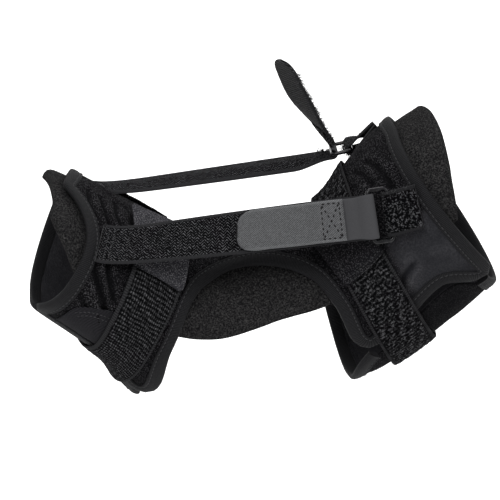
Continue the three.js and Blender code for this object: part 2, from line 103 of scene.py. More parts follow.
# Free straps' ends: share of a section from seam to bend, starts of the far tail and its tab, the tail's rise into
# the tab and its narrowing on the way, and the tab's round tip as shares of its width back from its end, narrowed
FOOT_SEAM_SHARE = 0.12
TAIL_START = 3 * MM
TAB_LEAD = 3 * MM
TAIL_RISE = 1.7 * MM
TAIL_SHARES = ((0, 0.95), (0.5, 0.85), (1, 0.7))
TIP_SHARES = ((0.30, 0.98), (0.20, 0.92), (0.11, 0.80), (0.04, 0.60), (0.0, 0.36))

# Modelled points: spacing on each cloth, and radius of its rim with the rings on it as shares of that radius
SHELL_SPACING = 1.7 * MM
LINER_SPACING = 2.4 * MM
TAPE_SPACING = 2.5 * MM
LIMB_STRAP_SPACING = 2 * MM
FREE_STRAP_SPACING = 1.5 * MM
FOOT_KNIT_SPACING = 0.6 * MM
CALF_KNIT_SPACING = 0.7 * MM
SHELL_RIM = 1.5 * MM
LINER_RIM = 4 * MM
RIM_RINGS = (0, 0.12, 0.35, 0.65)
THINNEST_RIM = 0.0004

# Stops on the free straps: from bend to buckle, of which the bend takes some, over the bend, round a bar and on an
# anchor. Rings closer than the last value are left out.
STRAP_STEPS = 16
BEND_STEPS = 3
BEND_STOPS = 9
TURN_STEPS = 12
ANCHOR_STEPS = 4
CLOSEST_RINGS = 0.25 * MM

# Places at which lengths are measured: along a cut, between its corners, round the limb and across a cut
ROUGH_PLACES = 300
CORNER_PLACES = 300
LIMB_PLACES = 400
WIDTH_PLACES = 200

# Share of its thickness that a limb strap keeps at its very ends
END_SHARE = 0.1

# Depth of the far strap's droop, stretches over which it comes and goes, and share of its width that stays level
DROOP_DEPTH = 6.5 * MM
DROOP_START = 12 * MM
DROOP_END = 26 * MM
LEVEL_SHARE = 0.2
DROOP_POWER = 1.4

# Stitches sag by this share of their thickness. Fibres' roots spread, and the fibres lean and bend at random, taper
# and have three sides at these angles.
STITCH_SAG = 1.4
ROOT_SPREAD = 0.4 * MM
FIBRE_SPREAD = 0.5
FIBRE_BEND = 0.6
FIBRE_CURL = 0.7
SHORTEST_FIBRE = 0.4
FIBRE_TAPER = 0.12
FIBRE_RINGS = 6
FIBRE_SIDES = (0, 2.1, 4.2)

# Steps for slopes on the limb: sections and degrees
SECTION_NUDGE = 0.02
DEGREE_NUDGE = 0.5

# Lift of each layer's inner face above the hollow
shell_lift = LINER_THICKNESS + LINER_GAP
shell_top = shell_lift + SHELL_THICKNESS
sewn_lift = shell_top + SEWN_GAP
elastic_lift = shell_lift + TAPE_THICKNESS + LAYER_GAP
tab_lift = elastic_lift + WEBBING_THICKNESS + LAYER_GAP
tab_top = tab_lift + TAB_THICKNESS
over_tabs = tab_top + LAYER_GAP + WEBBING_THICKNESS

# Photograph's view
VIEW_AZIMUTH = 10
VIEW_ELEVATION = 31
VIEW_DISTANCE = 1.5
PIXEL = 0.66 * MM
FRAME_PIXELS = 500
ORIGIN_PIXEL = (258, 356)
SENSOR_WIDTH = 36
NEAREST_SEEN = 0.05

# Studio
FLOOR_DROP = 160 * MM
FLOOR_SIZE = 12
FLOOR_SHADE = 0.97
FLOOR_ROUGHNESS = 0.9
LIGHT_AIM = (0, 0, 0.05)
# Place, size and power of each soft light
SOFTBOXES = (((-0.5, -0.8, 1.5), 0.8, 24), ((1.2, -0.4, 1.0), 1.0, 8), ((0.2, 1.2, 1.1), 1.2, 12))


def rows_of(names, *rows):
    return {name: np.array(column, float) for name, column in zip(names.split(), zip(*rows))}


# Cross sections of the hollow from the toes to the shin: arm 0 foot, 1 ankle bend, 2 leg.
# along: share of the arm's reach. lean: degrees the section's top tips towards +X.
# top, bottom: half heights, half: half width, as shares of half the arm's height and width.
sections = rows_of(
    "arm along lean top bottom half",
    (0, 1.045, 21, 0.26, 0.92, 0.98),
    (0, 0.927, 20, 0.62, 1.00, 1.02),
    (0, 0.619, 25, 0.80, 1.10, 1.00),
    (0, 0.368, 28, 1.12, 1.48, 0.88),
    (1, 1.000, 0, 1.15, 1.60, 0.80),
    (2, 0.346, -16, 0.90, 1.04, 0.86),
    (2, 0.575, -30, 1.00, 1.08, 0.98),
    (2, 0.751, -37, 1.00, 1.02, 1.04),
    (2, 0.861, -41, 0.92, 1.04, 1.06),
    (2, 1.000, -42, 0.80, 1.14, 1.08),
)
# Run, height and width of the foot, the ankle bend and the leg
arms = rows_of(
    "pitch reach height width",
    (180 - FOOT_PITCH, FOOT_REACH, FOOT_HEIGHT, FOOT_WIDTH),
    (90 - BEND_LEAN, ANKLE_RISE, FOOT_HEIGHT, FOOT_WIDTH),
    (LEG_PITCH, LEG_REACH, LEG_DEPTH, LEG_WIDTH),
)
arm_of = sections["arm"].astype(int)
centre = sections["along"] * arms["reach"][arm_of]
measured = {
    "x": centre * np.cos(np.radians(arms["pitch"][arm_of])),
    "z": centre * np.sin(np.radians(arms["pitch"][arm_of])),
    "lean": np.radians(sections["lean"]),
    "top": sections["top"] * arms["height"][arm_of] / 2,
    "bottom": sections["bottom"] * arms["height"][arm_of] / 2,
    "half": sections["half"] * arms["width"][arm_of] / 2,
}

# Cut of the shell and liner on the limb, a row for each stage from toes to shin.
# middle: section number on the top line. near_shift, far_shift: how far the side edges lie ahead of it.
# bow: how far the row bends back halfway down each side. near, far: degrees that the sides reach.
BOW_LEAD = 0.75
shell_rows = rows_of(
    "middle near_shift far_shift bow near far",
    (1.08, -0.02, -0.02, 0.29, 134, 206),
    (1.80, 0.05, 0.05, 0.10, 135, 206),
    (2.12, 0.62, 0.62, 0.00, 134, 205),
    (2.40, 0.18, 0.24, 0.00, 97, 140),
    (2.70, -0.16, -0.12, 0.00, 60, 72),
    (3.00, -0.28, -0.28, 0.00, 33, 38),
    (3.40, -0.20, -0.20, 0.00, 17, 21),
    (4.10, 0.00, 0.00, 0.00, 25, 28),
    (4.75, -0.10, -0.10, 0.00, 43, 46),
    (4.98, -0.07, -0.10, 0.00, 72, 88),
    (5.12, -0.10, -0.25, 0.00, 100, 190),
    (5.40, -0.15, -0.30, 0.00, 101, 238),
    (6.20, 0.00, 0.00, -0.05, 96, 252),
    (6.85, -0.08, -0.24, -0.12, 114, 237),
)
liner_rows = rows_of(
    "middle near_shift far_shift bow near far",
    (0.72, -0.14, -0.14, 0.00, 30, 30),
    (0.86, 0.12, 0.12, 0.00, 63, 63),
    (1.10, 0.14, 0.14, 0.00, 88, 88),
    (1.70, 0.00, 0.00, 0.00, 98, 98),
    (2.80, 0.00, 0.00, 0.00, 87, 87),
    (3.50, 0.00, 0.00, 0.00, 87, 87),
    (4.30, 0.00, 0.00, 0.00, 79, 79),
    (5.10, 0.00, 0.00, 0.00, 74, 74),
    (6.80, 0.00, 0.00, 0.00, 80, 80),
    (7.75, -0.60, -0.60, 0.00, 76, 76),
    (8.20, -0.35, -0.35, 0.00, 44, 44),
)
shell_last = len(shell_rows["middle"]) - 1
FAR_SOLE_END = 2
FAR_CALF_END = 11
FAR_WAIST_START = FAR_SOLE_END + 1 / 3

# Straps that lie on the shell: a row for each stage round the limb
foot_elastic_rows = rows_of("phi t", (40, 2.14), (90, 2.08), (130, 2.12), (180, 2.08), (230, 2.10),
                            (270, 2.12), (316, 2.16))
foot_tab_rows = rows_of("phi t wide", (-4, 2.12, 0.7), (2, 2.12, 1.0), (48, 2.12, 1.0), (56, 2.10, 0.9))
calf_elastic_rows = rows_of("phi t", (54, 5.33), (95, 5.42), (135, 5.47), (180, 5.50), (240, 5.46),
                            (300, 5.38), (360, 5.28), (394, 5.18))
calf_tab_rows = rows_of("phi t wide", (22, 5.14, 0.8), (28, 5.15, 1.0), (62, 5.34, 1.0))
sole_patch_rows = rows_of("phi t wide", (91, 1.84, 0.3), (97, 1.74, 0.7), (106, 1.66, 0.92), (130, 1.62, 1.0))

# Places of each tension strap: where it is sewn to the foot and shin, and its buckle
near_strap = {"foot_t": 1.39, "foot_phi": 50, "buckle_t": 5.97, "shin_phi": 45, "anchor_t": 6.64,
              "anchor_phi": 56, "roll": 0, "buckle_lift": over_tabs + BUCKLE_WIRE / 2}
far_strap = {"foot_t": 1.55, "foot_phi": -48, "buckle_t": 5.80, "shin_phi": -48, "anchor_t": 6.62,
             "anchor_phi": -52, "roll": 38, "buckle_lift": over_tabs + BUCKLE_WIRE / 2 + FAR_BUCKLE_RISE}
buckle_inner = STRAP_WIDTH + 2 * BUCKLE_SIDE_PLAY
bar_offset = (BUCKLE_LENGTH - BUCKLE_WIRE) / 2
turn_radius = BUCKLE_WIRE / 2 + LAYER_GAP


def unit(v):
    v = np.asarray(v, float)
    return v / np.maximum(np.linalg.norm(v, axis=-1, keepdims=True), 1e-12)


def eased(start, end, start_slope, end_slope, f):
    """Smooth value at share f between two values that leaves and arrives with their slopes."""
    f2, f3 = f * f, f * f * f
    return (start * (2 * f3 - 3 * f2 + 1) + start_slope * (f3 - 2 * f2 + f)
            + end * (3 * f2 - 2 * f3) + end_slope * (f3 - f2))


def blend(column, t):
    """Smooth value of one column between table rows."""
    last = len(column) - 1
    i = np.clip(np.floor(t).astype(int), 0, last - 1)
    value = lambda k: column[np.clip(k, 0, last)]
    before = (value(i + 1) - value(i - 1)) / np.where(i > 0, 2, 1)
    after = (value(i + 2) - value(i)) / np.where(i + 1 < last, 2, 1)
    return eased(value(i), value(i + 1), before, after, t - i)


def run_along(line):
    """Distance from the start of a line to each of its points, for one line or a stack of them."""
    steps = np.linalg.norm(np.diff(line, axis=-2), axis=-1)
    return np.concatenate([np.zeros_like(steps[..., :1]), np.cumsum(steps, axis=-1)], -1)


def at_run(distance, run, table):
    """Rows of a table that are reached at distances along a run."""
    return np.stack([np.interp(distance, run, column) for column in table.T], -1)


def bulge(value):
    return np.sign(value) * np.abs(value) ** (2 / ROUNDNESS)


def on_limb(t, phi, lift):
    """Point on the hollow at section t, phi degrees from the top towards the near side, lifted outwards."""
    t, phi, lift = np.broadcast_arrays(*(np.asarray(v, float) for v in (t, phi, lift)))
    lean = blend(measured["lean"], t)
    c, s = np.cos(np.radians(phi)), np.sin(np.radians(phi))
    height = np.where(c >= 0, blend(measured["top"], t), blend(measured["bottom"], t))
    half = blend(measured["half"], t)
    normal = unit(np.stack([bulge(s) * height, bulge(c) * half], -1))
    out = bulge(s) * half + normal[..., 0] * lift
    up = bulge(c) * height + normal[..., 1] * lift
    return np.stack([blend(measured["x"], t) + np.sin(lean) * up, -out,
                     blend(measured["z"], t) + np.cos(lean) * up], -1)


def limb_frame(t, phi, lift):
    """Step lengths for one section and one degree, and unit vectors along the limb, round it and outwards."""
    t, phi = np.asarray(t, float), np.asarray(phi, float)
    along = on_limb(t + SECTION_NUDGE, phi, lift) - on_limb(t - SECTION_NUDGE, phi, lift)
    round_it = on_limb(t, phi + DEGREE_NUDGE, lift) - on_limb(t, phi - DEGREE_NUDGE, lift)
    out = unit(np.cross(round_it, along))
    return (np.linalg.norm(along, axis=-1) / (2 * SECTION_NUDGE),
            np.linalg.norm(round_it, axis=-1) / (2 * DEGREE_NUDGE), unit(along), unit(round_it), out)


def in_cut(rows, r, side):
    """Place in a cut: row r of the table and side from -1 (far edge) to 1 (near edge)."""
    r, side = np.broadcast_arrays(np.asarray(r, float), np.asarray(side, float))
    reach = np.abs(side)
    shift = np.where(side >= 0, blend(rows["near_shift"], r), blend(rows["far_shift"], r))
    phi = side * np.where(side >= 0, blend(rows["near"], r), blend(rows["far"], r))
    t = blend(rows["middle"], r) + shift * reach * reach + blend(rows["bow"], r) * np.sin(np.pi * reach ** BOW_LEAD)
    return t, phi


# Camera at the photograph's place
azimuth, elevation = math.radians(VIEW_AZIMUTH), math.radians(VIEW_ELEVATION)
view_right = Vector((math.cos(azimuth), -math.sin(azimuth), 0))
view_forward = Vector((math.sin(azimuth) * math.cos(elevation), math.cos(azimuth) * math.cos(elevation),
                       -math.sin(elevation)))
view_up = view_right.cross(view_forward)
middle_pixel = FRAME_PIXELS / 2
view_target = (view_right * (middle_pixel - ORIGIN_PIXEL[0]) + view_up * (ORIGIN_PIXEL[1] - middle_pixel)) * PIXEL
camera = bpy.data.objects.new("camera", bpy.data.cameras.new("camera"))
bpy.context.scene.collection.objects.link(camera)
camera.matrix_world = Matrix.Translation(view_target - view_forward * VIEW_DISTANCE) @ Matrix(
    (view_right, view_up, -view_forward)).transposed().to_4x4()
camera.data.sensor_width = SENSOR_WIDTH
camera.data.lens = SENSOR_WIDTH * VIEW_DISTANCE / (FRAME_PIXELS * PIXEL)
camera.data.clip_start = NEAREST_SEEN
bpy.context.scene.camera = camera


def new_piece(name, points, faces, uv=None, marks=None):
    """Piece of the splint from points and faces, with a map of metres along and across the cloth.

    marks holds named shares from 0 to 1 for its points, such as which face of a strap they lie on.
    """
    mesh = bpy.data.meshes.new(name)
    mesh.from_pydata([tuple(p) for p in points], [], [tuple(int(i) for i in f) for f in faces])
    for mark, shares in (marks or {}).items():
        mesh.attributes.new(mark, "FLOAT", "POINT").data.foreach_set("value", np.asarray(shares, np.float32).ravel())
    if uv is not None:
        corner = np.zeros(len(mesh.loops), np.int32)
        mesh.loops.foreach_get("vertex_index", corner)
        layer = mesh.uv_layers.new(name="cloth")
        layer.data.foreach_set("uv", np.asarray(uv, np.float32)[corner].ravel())
    mesh.polygons.foreach_set("use_smooth", np.ones(len(mesh.polygons), bool))
    mesh.update()
    piece = bpy.data.objects.new(name, mesh)
    bpy.context.scene.collection.objects.link(piece)
    return piece


def face_outwards(points, faces):
    """The same faces, turned so that they enclose a positive volume."""
    first, second, third = (points[faces[:, k]] for k in (0, 1, 2))
    last = points[faces[:, -1]]
    volume = np.einsum("ij,ij->", first, np.cross(second, third)) + np.einsum("ij,ij->", first, np.cross(third, last))
    return faces if volume > 0 else faces[:, ::-1]


def swept(name, rings, uv, marks=None):
    """Closed piece through rings of section points, an array of stations by sides by 3."""
    stations, sides = rings.shape[:2]
    i, j = np.meshgrid(np.arange(stations - 1), np.arange(sides), indexing="ij")
    k = (j + 1) % sides
    faces = np.stack([i * sides + j, (i + 1) * sides + j, (i + 1) * sides + k, i * sides + k], -1).reshape(-1, 4)
    ends = np.arange(sides)[::-1], (stations - 1) * sides + np.arange(sides)
    middle = rings[:2].mean(1)
    area = np.cross(rings[0] - middle[0], np.roll(rings[0], -1, 0) - middle[0]).sum(0)
    turn = -1 if area @ (middle[1] - middle[0]) < 0 else 1
    return new_piece(name, rings.reshape(-1, 3), [face[::turn] for face in (*faces, *ends)], uv.reshape(-1, 2), marks)


def strap_section(columns, wide, width, thickness, edge_steps=4):
    """Round-edged section of a strap at each station: places across it, and lift from 0 to 1."""
    flat = np.linspace(-1, 1, columns)
    arc = np.linspace(0, np.pi, edge_steps + 2)[1:-1]
    edge = np.ones_like(arc)
    across = np.concatenate([flat, edge, flat[::-1], -edge])
    lift = np.concatenate([np.ones(columns), 0.5 + 0.5 * np.cos(arc), np.zeros(columns), 0.5 - 0.5 * np.cos(arc)])
    proud = np.concatenate([np.zeros(columns), np.sin(arc)] * 2)
    half = (wide * width / 2 - thickness / 2)[:, None] * across + thickness / 2 * proud * np.sign(across)
    return half, lift


def strap_piece(name, rings, distance, half, pile, marks=None):
    """Strap through its rings, mapped along and across, its pile marked from 0 to 1."""
    uv = np.stack([np.broadcast_to(distance[:, None], half.shape), half], -1)
    return swept(name, rings, uv, {"outer_face": np.broadcast_to(pile, half.shape), **(marks or {})})


def limb_strap(name, rows, width, lift, thickness, spacing=LIMB_STRAP_SPACING, columns=13, ridges=None):
    """Strap lying round the limb along a table of phi and t, with rounded edges.

    ridges gives the knit's height from 0 to 1 for places along and across the strap, and its depth.
    """
    rough = np.linspace(0, len(rows["phi"]) - 1, LIMB_PLACES)
    run = run_along(on_limb(blend(rows["t"], rough), blend(rows["phi"], rough), lift))
    distance = np.linspace(0, run[-1], int(run[-1] / spacing) + 1)
    r = np.interp(distance, run, rough)
    phi, t = blend(rows["phi"], r), blend(rows["t"], r)
    wide = blend(rows["wide"], r) if "wide" in rows else np.ones_like(r)
    half, up = strap_section(columns, wide, width, thickness)
    end = np.minimum(distance, run[-1] - distance) / (thickness / 2)
    end_round = END_SHARE + (1 - END_SHARE) * np.sqrt(1 - (1 - np.clip(end, 0, 1)) ** 2)[:, None]
    raised = lift + (0.5 + (up - 0.5) * end_round) * thickness
    marks = {}
    if ridges is not None:
        marks["ridge"], depth = ridges(distance[:, None], half)
        raised = raised + depth * (marks["ridge"] - 0.5) * up
    rings = on_limb(t[:, None] + half / limb_frame(t, phi, lift)[0][:, None], phi[:, None], raised)
    return strap_piece(name, rings, distance, half, up, marks)


def smooth_nap(t, phi):
    """Share of flattened nap: the near shin wing between the calf strap and the top edge."""
    return np.clip((t - 5.7) / 0.2, 0, 1) * np.clip((phi - 58) / 6, 0, 1)


def far_wing_shade(t, phi):
    """Share of painted shade: the far shin wing behind the calf, whose colour it darkens."""
    return np.clip((t - 5.0) / 0.3, 0, 1) * np.clip((-150 - phi) / 20, 0, 1)


def cut_cloth(name, rows, widest, spacing, lift, thickness, rim, relief):
    """Closed cloth over a cut, its rim rounded over the given radius, with a relief on both faces.

    widest is the share of the cut's rows at which its width sets the number of points across it.
    """
    last = len(rows["middle"]) - 1
    rough = np.linspace(0, last, ROUGH_PLACES)
    length = run_along(on_limb(*in_cut(rows, rough, 0.0), lift))
    edge = rim * np.array(RIM_RINGS)
    inner_steps = int((length[-1] - 2 * rim) / spacing)
    distance = np.concatenate([edge, np.linspace(rim, length[-1] - rim, inner_steps), length[-1] - edge[::-1]])
    width = run_along(on_limb(*in_cut(rows, last * widest, np.linspace(-1, 1, WIDTH_PLACES)), lift))[-1]
    reach = 1 - 2 * rim / width
    side = np.concatenate([-1 + 2 * edge / width, np.linspace(-reach, reach, int(width / spacing)),
                           1 - 2 * edge[::-1] / width])
    row, side = np.meshgrid(np.interp(distance, length, rough), side, indexing="ij")
    t, phi = in_cut(rows, row, side)
    base = on_limb(t, phi, lift + thickness / 2)
    run = run_along(base)
    to_end = np.minimum(distance, length[-1] - distance)[:, None]
    inside = np.minimum(to_end, np.minimum(run, run[:, -1:] - run))
    half = thickness / 2 * np.sqrt(np.clip(1 - (1 - np.clip(inside / rim, 0, 1)) ** 2, THINNEST_RIM, 1))
    raise_outer, raise_inner = relief(base, inside)
    outer = on_limb(t, phi, lift + thickness / 2 + half + raise_outer)
    inner = on_limb(t, phi, lift + thickness / 2 - half + raise_inner)
    points = np.concatenate([outer.reshape(-1, 3), inner.reshape(-1, 3)])
    count, columns = t.shape
    i, j = np.meshgrid(np.arange(count - 1), np.arange(columns - 1), indexing="ij")
    a = i * columns + j
    top = np.stack([a, a + columns, a + columns + 1, a + 1], -1).reshape(-1, 4)
    border = np.concatenate([
        np.arange(columns),
        np.arange(2, count + 1) * columns - 1,
        (count - 1) * columns + np.arange(columns - 2, -1, -1),
        np.arange(count - 2, 0, -1) * columns,
    ])
    after = np.roll(border, -1)
    rim_faces = np.stack([border, after, after + t.size, border + t.size], -1)
    faces = face_outwards(points, np.concatenate([top, top[:, ::-1] + t.size, rim_faces]))
    middle = columns // 2
    uv = np.stack([np.broadcast_to(distance[:, None], t.shape), run - run[:, middle:middle + 1]], -1).reshape(-1, 2)
    # Marks of the outer face, and their even value on the inner one.
    # The far shin wing's mark and the folds' hollow mark are painted shade.
    marks = {"smooth_nap": (smooth_nap(t, phi), 0.8), "far_wing_shade": (far_wing_shade(t, phi), 0),
             "hollow": (np.clip(-raise_outer / FOLD_SHADE_DEPTH, -1, 1), 0)}
    return new_piece(name, points, faces, np.concatenate([uv] * 2),
                     {mark: np.append(share, np.full(t.size, within)) for mark, (share, within) in marks.items()})


def smooth_hills(points, scale, seed, waves=6, gain=1.8):
    """Gentle hills and hollows from about -1 to 1 over places in the cloth, with half as high ones between them."""
    drawn = np.random.default_rng(seed)
    total, weight = np.zeros(points.shape[:-1]), 0
    for finer in (1, 2):
        for _ in range(waves):
            direction = unit(drawn.normal(size=3))
            total += np.sin(points @ direction * (2 * np.pi / (scale / finer)) * drawn.uniform(0.7, 1.3)
                            + drawn.uniform(0, 2 * np.pi)) / finer
        weight += waves / finer
    return total / weight * gain


def line_distance(points, line):
    """Distance of points from a line through the given places."""
    nearest = np.full(points.shape[:-1], np.inf)
    for a, b in zip(line, line[1:]):
        f = np.clip((points - a) @ (b - a) / ((b - a) @ (b - a)), 0, 1)
        nearest = np.minimum(nearest, np.linalg.norm(points - a - f[..., None] * (b - a), axis=-1))
    return nearest


# Folds pressed into the shell: half width and depth in mm, then places t, phi along each. They fade out at the edge,
# and their depth darkens the cloth's colour as painted shade.
HILL_HEIGHT = 0.6 * MM
FOLD_FADE = 4 * MM
# Fold depth at which the painted shade is darkest
FOLD_SHADE_DEPTH = 1.1 * MM
shell_folds = (
    (2.4, 2.6, ((1.36, 64), (1.40, 75), (1.48, 82), (1.60, 90), (1.68, 98))),
    (2.2, 2.4, ((1.50, 60), (1.54, 70), (1.60, 78), (1.68, 86))),
    (1.8, 1.2, ((1.20, 84), (1.30, 92), (1.44, 99), (1.58, 104))),
    (1.9, 1.9, ((1.30, -4), (1.28, 8), (1.34, 20), (1.40, 30))),
    (2.0, 2.2, ((1.44, -2), (1.46, 10), (1.50, 20), (1.50, 30))),
    (2.0, 1.7, ((1.62, -4), (1.60, 8), (1.64, 18), (1.70, 28))),
    (1.8, 1.4, ((1.80, 0), (1.78, 12), (1.82, 22), (1.90, 32))),
    (1.8, 1.3, ((1.38, 14), (1.52, 22), (1.70, 36))),
    (1.8, 1.2, ((1.52, -24), (1.60, -12), (1.74, -4))),
    (1.8, 1.2, ((1.36, -62), (1.46, -72), (1.62, -84))),
    (2.2, 1.2, ((1.30, 112), (1.44, 116), (1.62, 118))),
    (2.4, 1.3, ((1.34, -110), (1.50, -118), (1.66, -122))),
    (2.4, 1.3, ((2.30, 70), (2.45, 84), (2.40, 96))),
    (2.4, 1.3, ((5.55, 92), (5.80, 84), (6.00, 82))),
    (2.6, 1.4, ((5.60, -96), (5.90, -104), (6.20, -106))),
    (2.4, 1.4, ((5.50, -140), (5.62, -170), (5.60, -200))),
    (2.4, 1.4, ((6.20, 4), (6.34, 14), (6.40, 26), (6.40, 36))),
    (2.4, 1.3, ((5.90, 2), (6.02, 10), (6.10, 22))),
    (2.2, 1.2, ((6.26, -18), (6.38, -30), (6.54, -40))),
)


def shell_relief(base, inside):
    raised = HILL_HEIGHT * smooth_hills(base, 22 * MM, seed=3)
    for half_width, depth, stops in shell_folds:
        line = on_limb(*np.transpose(stops), shell_lift + SHELL_THICKNESS / 2)
        q = (line_distance(base, line) / (half_width * MM)) ** 2
        raised = raised - depth * MM * (1 - q) * np.exp(-q / 2)
    raised = raised * np.clip(inside / FOLD_FADE, 0.15, 1)
    return raised, raised


def liner_relief(base, inside):
    hills = smooth_hills(base, 30 * MM, seed=5)
    return HILL_HEIGHT * hills, HILL_HEIGHT / 2 * hills


shell = cut_cloth("shell_cloth", shell_rows, 0.1, SHELL_SPACING, shell_lift, SHELL_THICKNESS, SHELL_RIM, shell_relief)
liner = cut_cloth("liner_foam", liner_rows, 0.5, LINER_SPACING, 0, LINER_THICKNESS, LINER_RIM, liner_relief)


def edge_places(rows, corners):
    """Evenly spaced places on a cut's edge, each row r and side, along a run of corners."""
    fine = np.linspace(0, len(corners) - 1, CORNER_PLACES * (len(corners) - 1) + 1)
    r, side = (np.interp(fine, np.arange(len(corners)), column) for column in zip(*corners))
    length = run_along(on_limb(*in_cut(rows, r, side), shell_lift))
    distance = np.linspace(0, length[-1], int(length[-1] / TAPE_SPACING) + 1)
    return np.interp(distance, length, r), np.interp(distance, length, side), distance


# Seam line and outward directions of each tape
seams = []

# Section of the folded tape: distance out from the cut's edge and lift, in shares of its width and thickness.
# Point TAPE_SEAM is the groove that its stitches lie in.
tape_profile = np.array([
    (-0.19, 0.76), (-0.17, 0.94), (-0.10, 1.02), (0.00, 0.98), (0.07, 0.90), (0.14, 0.98), (0.30, 1.05),
    (0.55, 1.06), (0.78, 1.00), (0.93, 0.84), (1.00, 0.50), (0.93, 0.16), (0.78, 0.00), (0.45, -0.04),
    (0.00, -0.03), (-0.19, 0.00),
])
TAPE_SEAM = 3
TAPE_SEAM_SHIFT = 0.4 * MM
TAPE_SEAM_LIFT = 0.95


def edge_tape(name, rows, corners):
    """Folded tape over a run of the cut's edge, with a seam groove near its inner side."""
    r, side, distance = edge_places(rows, corners)
    t, phi = in_cut(rows, r, side)
    step, round_step, along, round_it, out = limb_frame(t, phi, shell_lift)
    segment = unit(np.cross(np.diff(on_limb(t, phi, shell_lift), axis=0), (out[1:] + out[:-1]) / 2))
    away = np.concatenate([segment[:1], segment]) + np.concatenate([segment, segment[-1:]])
    for _ in range(3):
        away = np.concatenate([away[:1], (away[:-2] + 2 * away[1:-1] + away[2:]) / 4, away[-1:]])
    away = unit(away)
    slant, a, b = (np.einsum("ij,ij->i", u, v) for u, v in ((along, round_it), (away, along), (away, round_it)))
    t_share = ((a - slant * b) / (1 - slant ** 2) / step)[:, None]
    phi_share = ((b - slant * a) / (1 - slant ** 2) / round_step)[:, None]
    at = lambda across, lift: on_limb(t[:, None] + across * t_share, phi[:, None] + across * phi_share,
                                      shell_lift + lift)
    section = tape_profile * [TAPE_WIDTH, TAPE_THICKNESS]
    seams.append((at(section[TAPE_SEAM, 0] + TAPE_SEAM_SHIFT, TAPE_SEAM_LIFT * TAPE_THICKNESS)[:, 0], out))
    uv = np.stack(np.broadcast_arrays(distance[:, None], run_along(section)[None]), -1)
    return swept(name, at(section[:, 0], section[:, 1]), uv)


main_run = [(FAR_SOLE_END, -1), (0, -1), (0, 1), (shell_last, 1), (shell_last, -1)]
main_tape = edge_tape("edge_tape_fold", shell_rows, main_run)
waist_tape = edge_tape("far_waist_tape_fold", shell_rows, [(FAR_CALF_END, -1), (FAR_WAIST_START, -1)])

sole_patch = limb_strap("sole_patch_cloth", sole_patch_rows, SOLE_PATCH_WIDTH, sewn_lift, PATCH_THICKNESS)


def foot_knit(distance, across):
    """Rows of knit across the foot's elastic strap, and how deep they are."""
    wander = 0.3 * MM * (np.sin(across * 400 + np.sin(distance * 210) * 2) + np.sin(distance * 130 + across * 170))
    rows = 0.5 + 0.5 * np.sin((distance + wander) * (2 * np.pi / (2.7 * MM)))
    places = np.stack(np.broadcast_arrays(distance, across, 0.0), -1)
    loops = np.clip(0.5 + 0.8 * smooth_hills(places, 3.2 * MM, seed=24), 0, 1)
    edge = np.clip((FOOT_ELASTIC_WIDTH / 2 - 2 * MM - np.abs(across)) / MM, 0, 1)
    return (rows * 0.68 + loops * 0.4) * edge + 0.35 * (1 - edge), 0.6 * MM


def calf_knit(distance, across):
    """Crinkled loops of the calf's elastic strap, and how deep they are."""
    places = np.stack(np.broadcast_arrays(distance, across, 0.0), -1)
    wander = 1.1 * MM * smooth_hills(places, 9 * MM, seed=21)
    rows = 0.5 + 0.5 * np.sin((distance + wander) * (2 * np.pi / (2.9 * MM)))
    loops = np.clip(0.5 + 0.9 * smooth_hills(places, 3.4 * MM, seed=22), 0, 1)
    edge = np.clip((CALF_ELASTIC_WIDTH / 2 - 2.2 * MM - np.abs(across)) / MM, 0, 1)
    ladder = 0.3 + 0.25 * np.sin(distance * (2 * np.pi / (1.8 * MM)))
    return (rows * 0.5 + loops * 0.55) * edge + ladder * (1 - edge), 0.9 * MM


foot_elastic = limb_strap("foot_elastic", foot_elastic_rows, FOOT_ELASTIC_WIDTH, elastic_lift, WEBBING_THICKNESS,
                          FOOT_KNIT_SPACING, columns=37, ridges=foot_knit)
calf_elastic = limb_strap("calf_elastic", calf_elastic_rows, CALF_ELASTIC_WIDTH, elastic_lift, WEBBING_THICKNESS,
                          CALF_KNIT_SPACING, columns=49, ridges=calf_knit)
foot_tab = limb_strap("foot_tab", foot_tab_rows, FOOT_TAB_WIDTH, tab_lift, TAB_THICKNESS)
calf_tab = limb_strap("calf_tab", calf_tab_rows, CALF_TAB_WIDTH, tab_lift, TAB_THICKNESS)


def limb_seam(stops, lift):
    """Seam through places t, phi on the limb."""
    t, phi = (np.array(column, float) for column in zip(*stops))
    fine = np.linspace(0, len(t) - 1, 12 * len(t))
    t, phi = blend(t, fine), blend(phi, fine)
    return on_limb(t, phi, lift), limb_frame(t, phi, lift)[-1]


class Stop:
    """Place on a free strap: its middle, its width and outward directions and its share of the width."""

    def __init__(self, point, across, out, wide=1.0):
        self.point, self.across, self.out = np.asarray(point, float), unit(across), unit(out)
        self.wide = wide


def between(a, b, f):
    return Stop(a.point * (1 - f) + b.point * f, a.across * (1 - f) + b.across * f, a.out * (1 - f) + b.out * f)


def turned(vector, axis, degrees):
    return np.array(Matrix.Rotation(math.radians(degrees), 3, Vector(axis)) @ Vector(vector))


def buckle_place(strap):
    """Middle of a buckle and unit vectors along its strap, across it and outwards."""
    start = on_limb(strap["foot_t"], strap["foot_phi"], over_tabs)
    middle = on_limb(strap["buckle_t"], strap["shin_phi"], strap["buckle_lift"])
    end = on_limb(strap["anchor_t"], strap["anchor_phi"], shell_top)
    run = unit(unit(middle - start) + unit(end - middle))
    out = limb_frame(strap["buckle_t"], strap["shin_phi"], strap["buckle_lift"])[-1]
    across = turned(unit(np.cross(out, run)), run, strap["roll"])
    return {"middle": middle, "run": run, "across": across, "out": unit(np.cross(run, across))}


def bar_turn(buckle, towards):
    """Stops of a half turn round a buckle bar, from the side under it to the side over it."""
    bar = buckle["middle"] - buckle["run"] * towards * bar_offset
    stops = []
    for angle in np.linspace(-np.pi / 2, np.pi / 2, TURN_STEPS + 1):
        out = buckle["run"] * np.cos(angle) * towards + buckle["out"] * np.sin(angle)
        stops.append(Stop(bar + out * turn_radius, buckle["across"], out))
    return stops


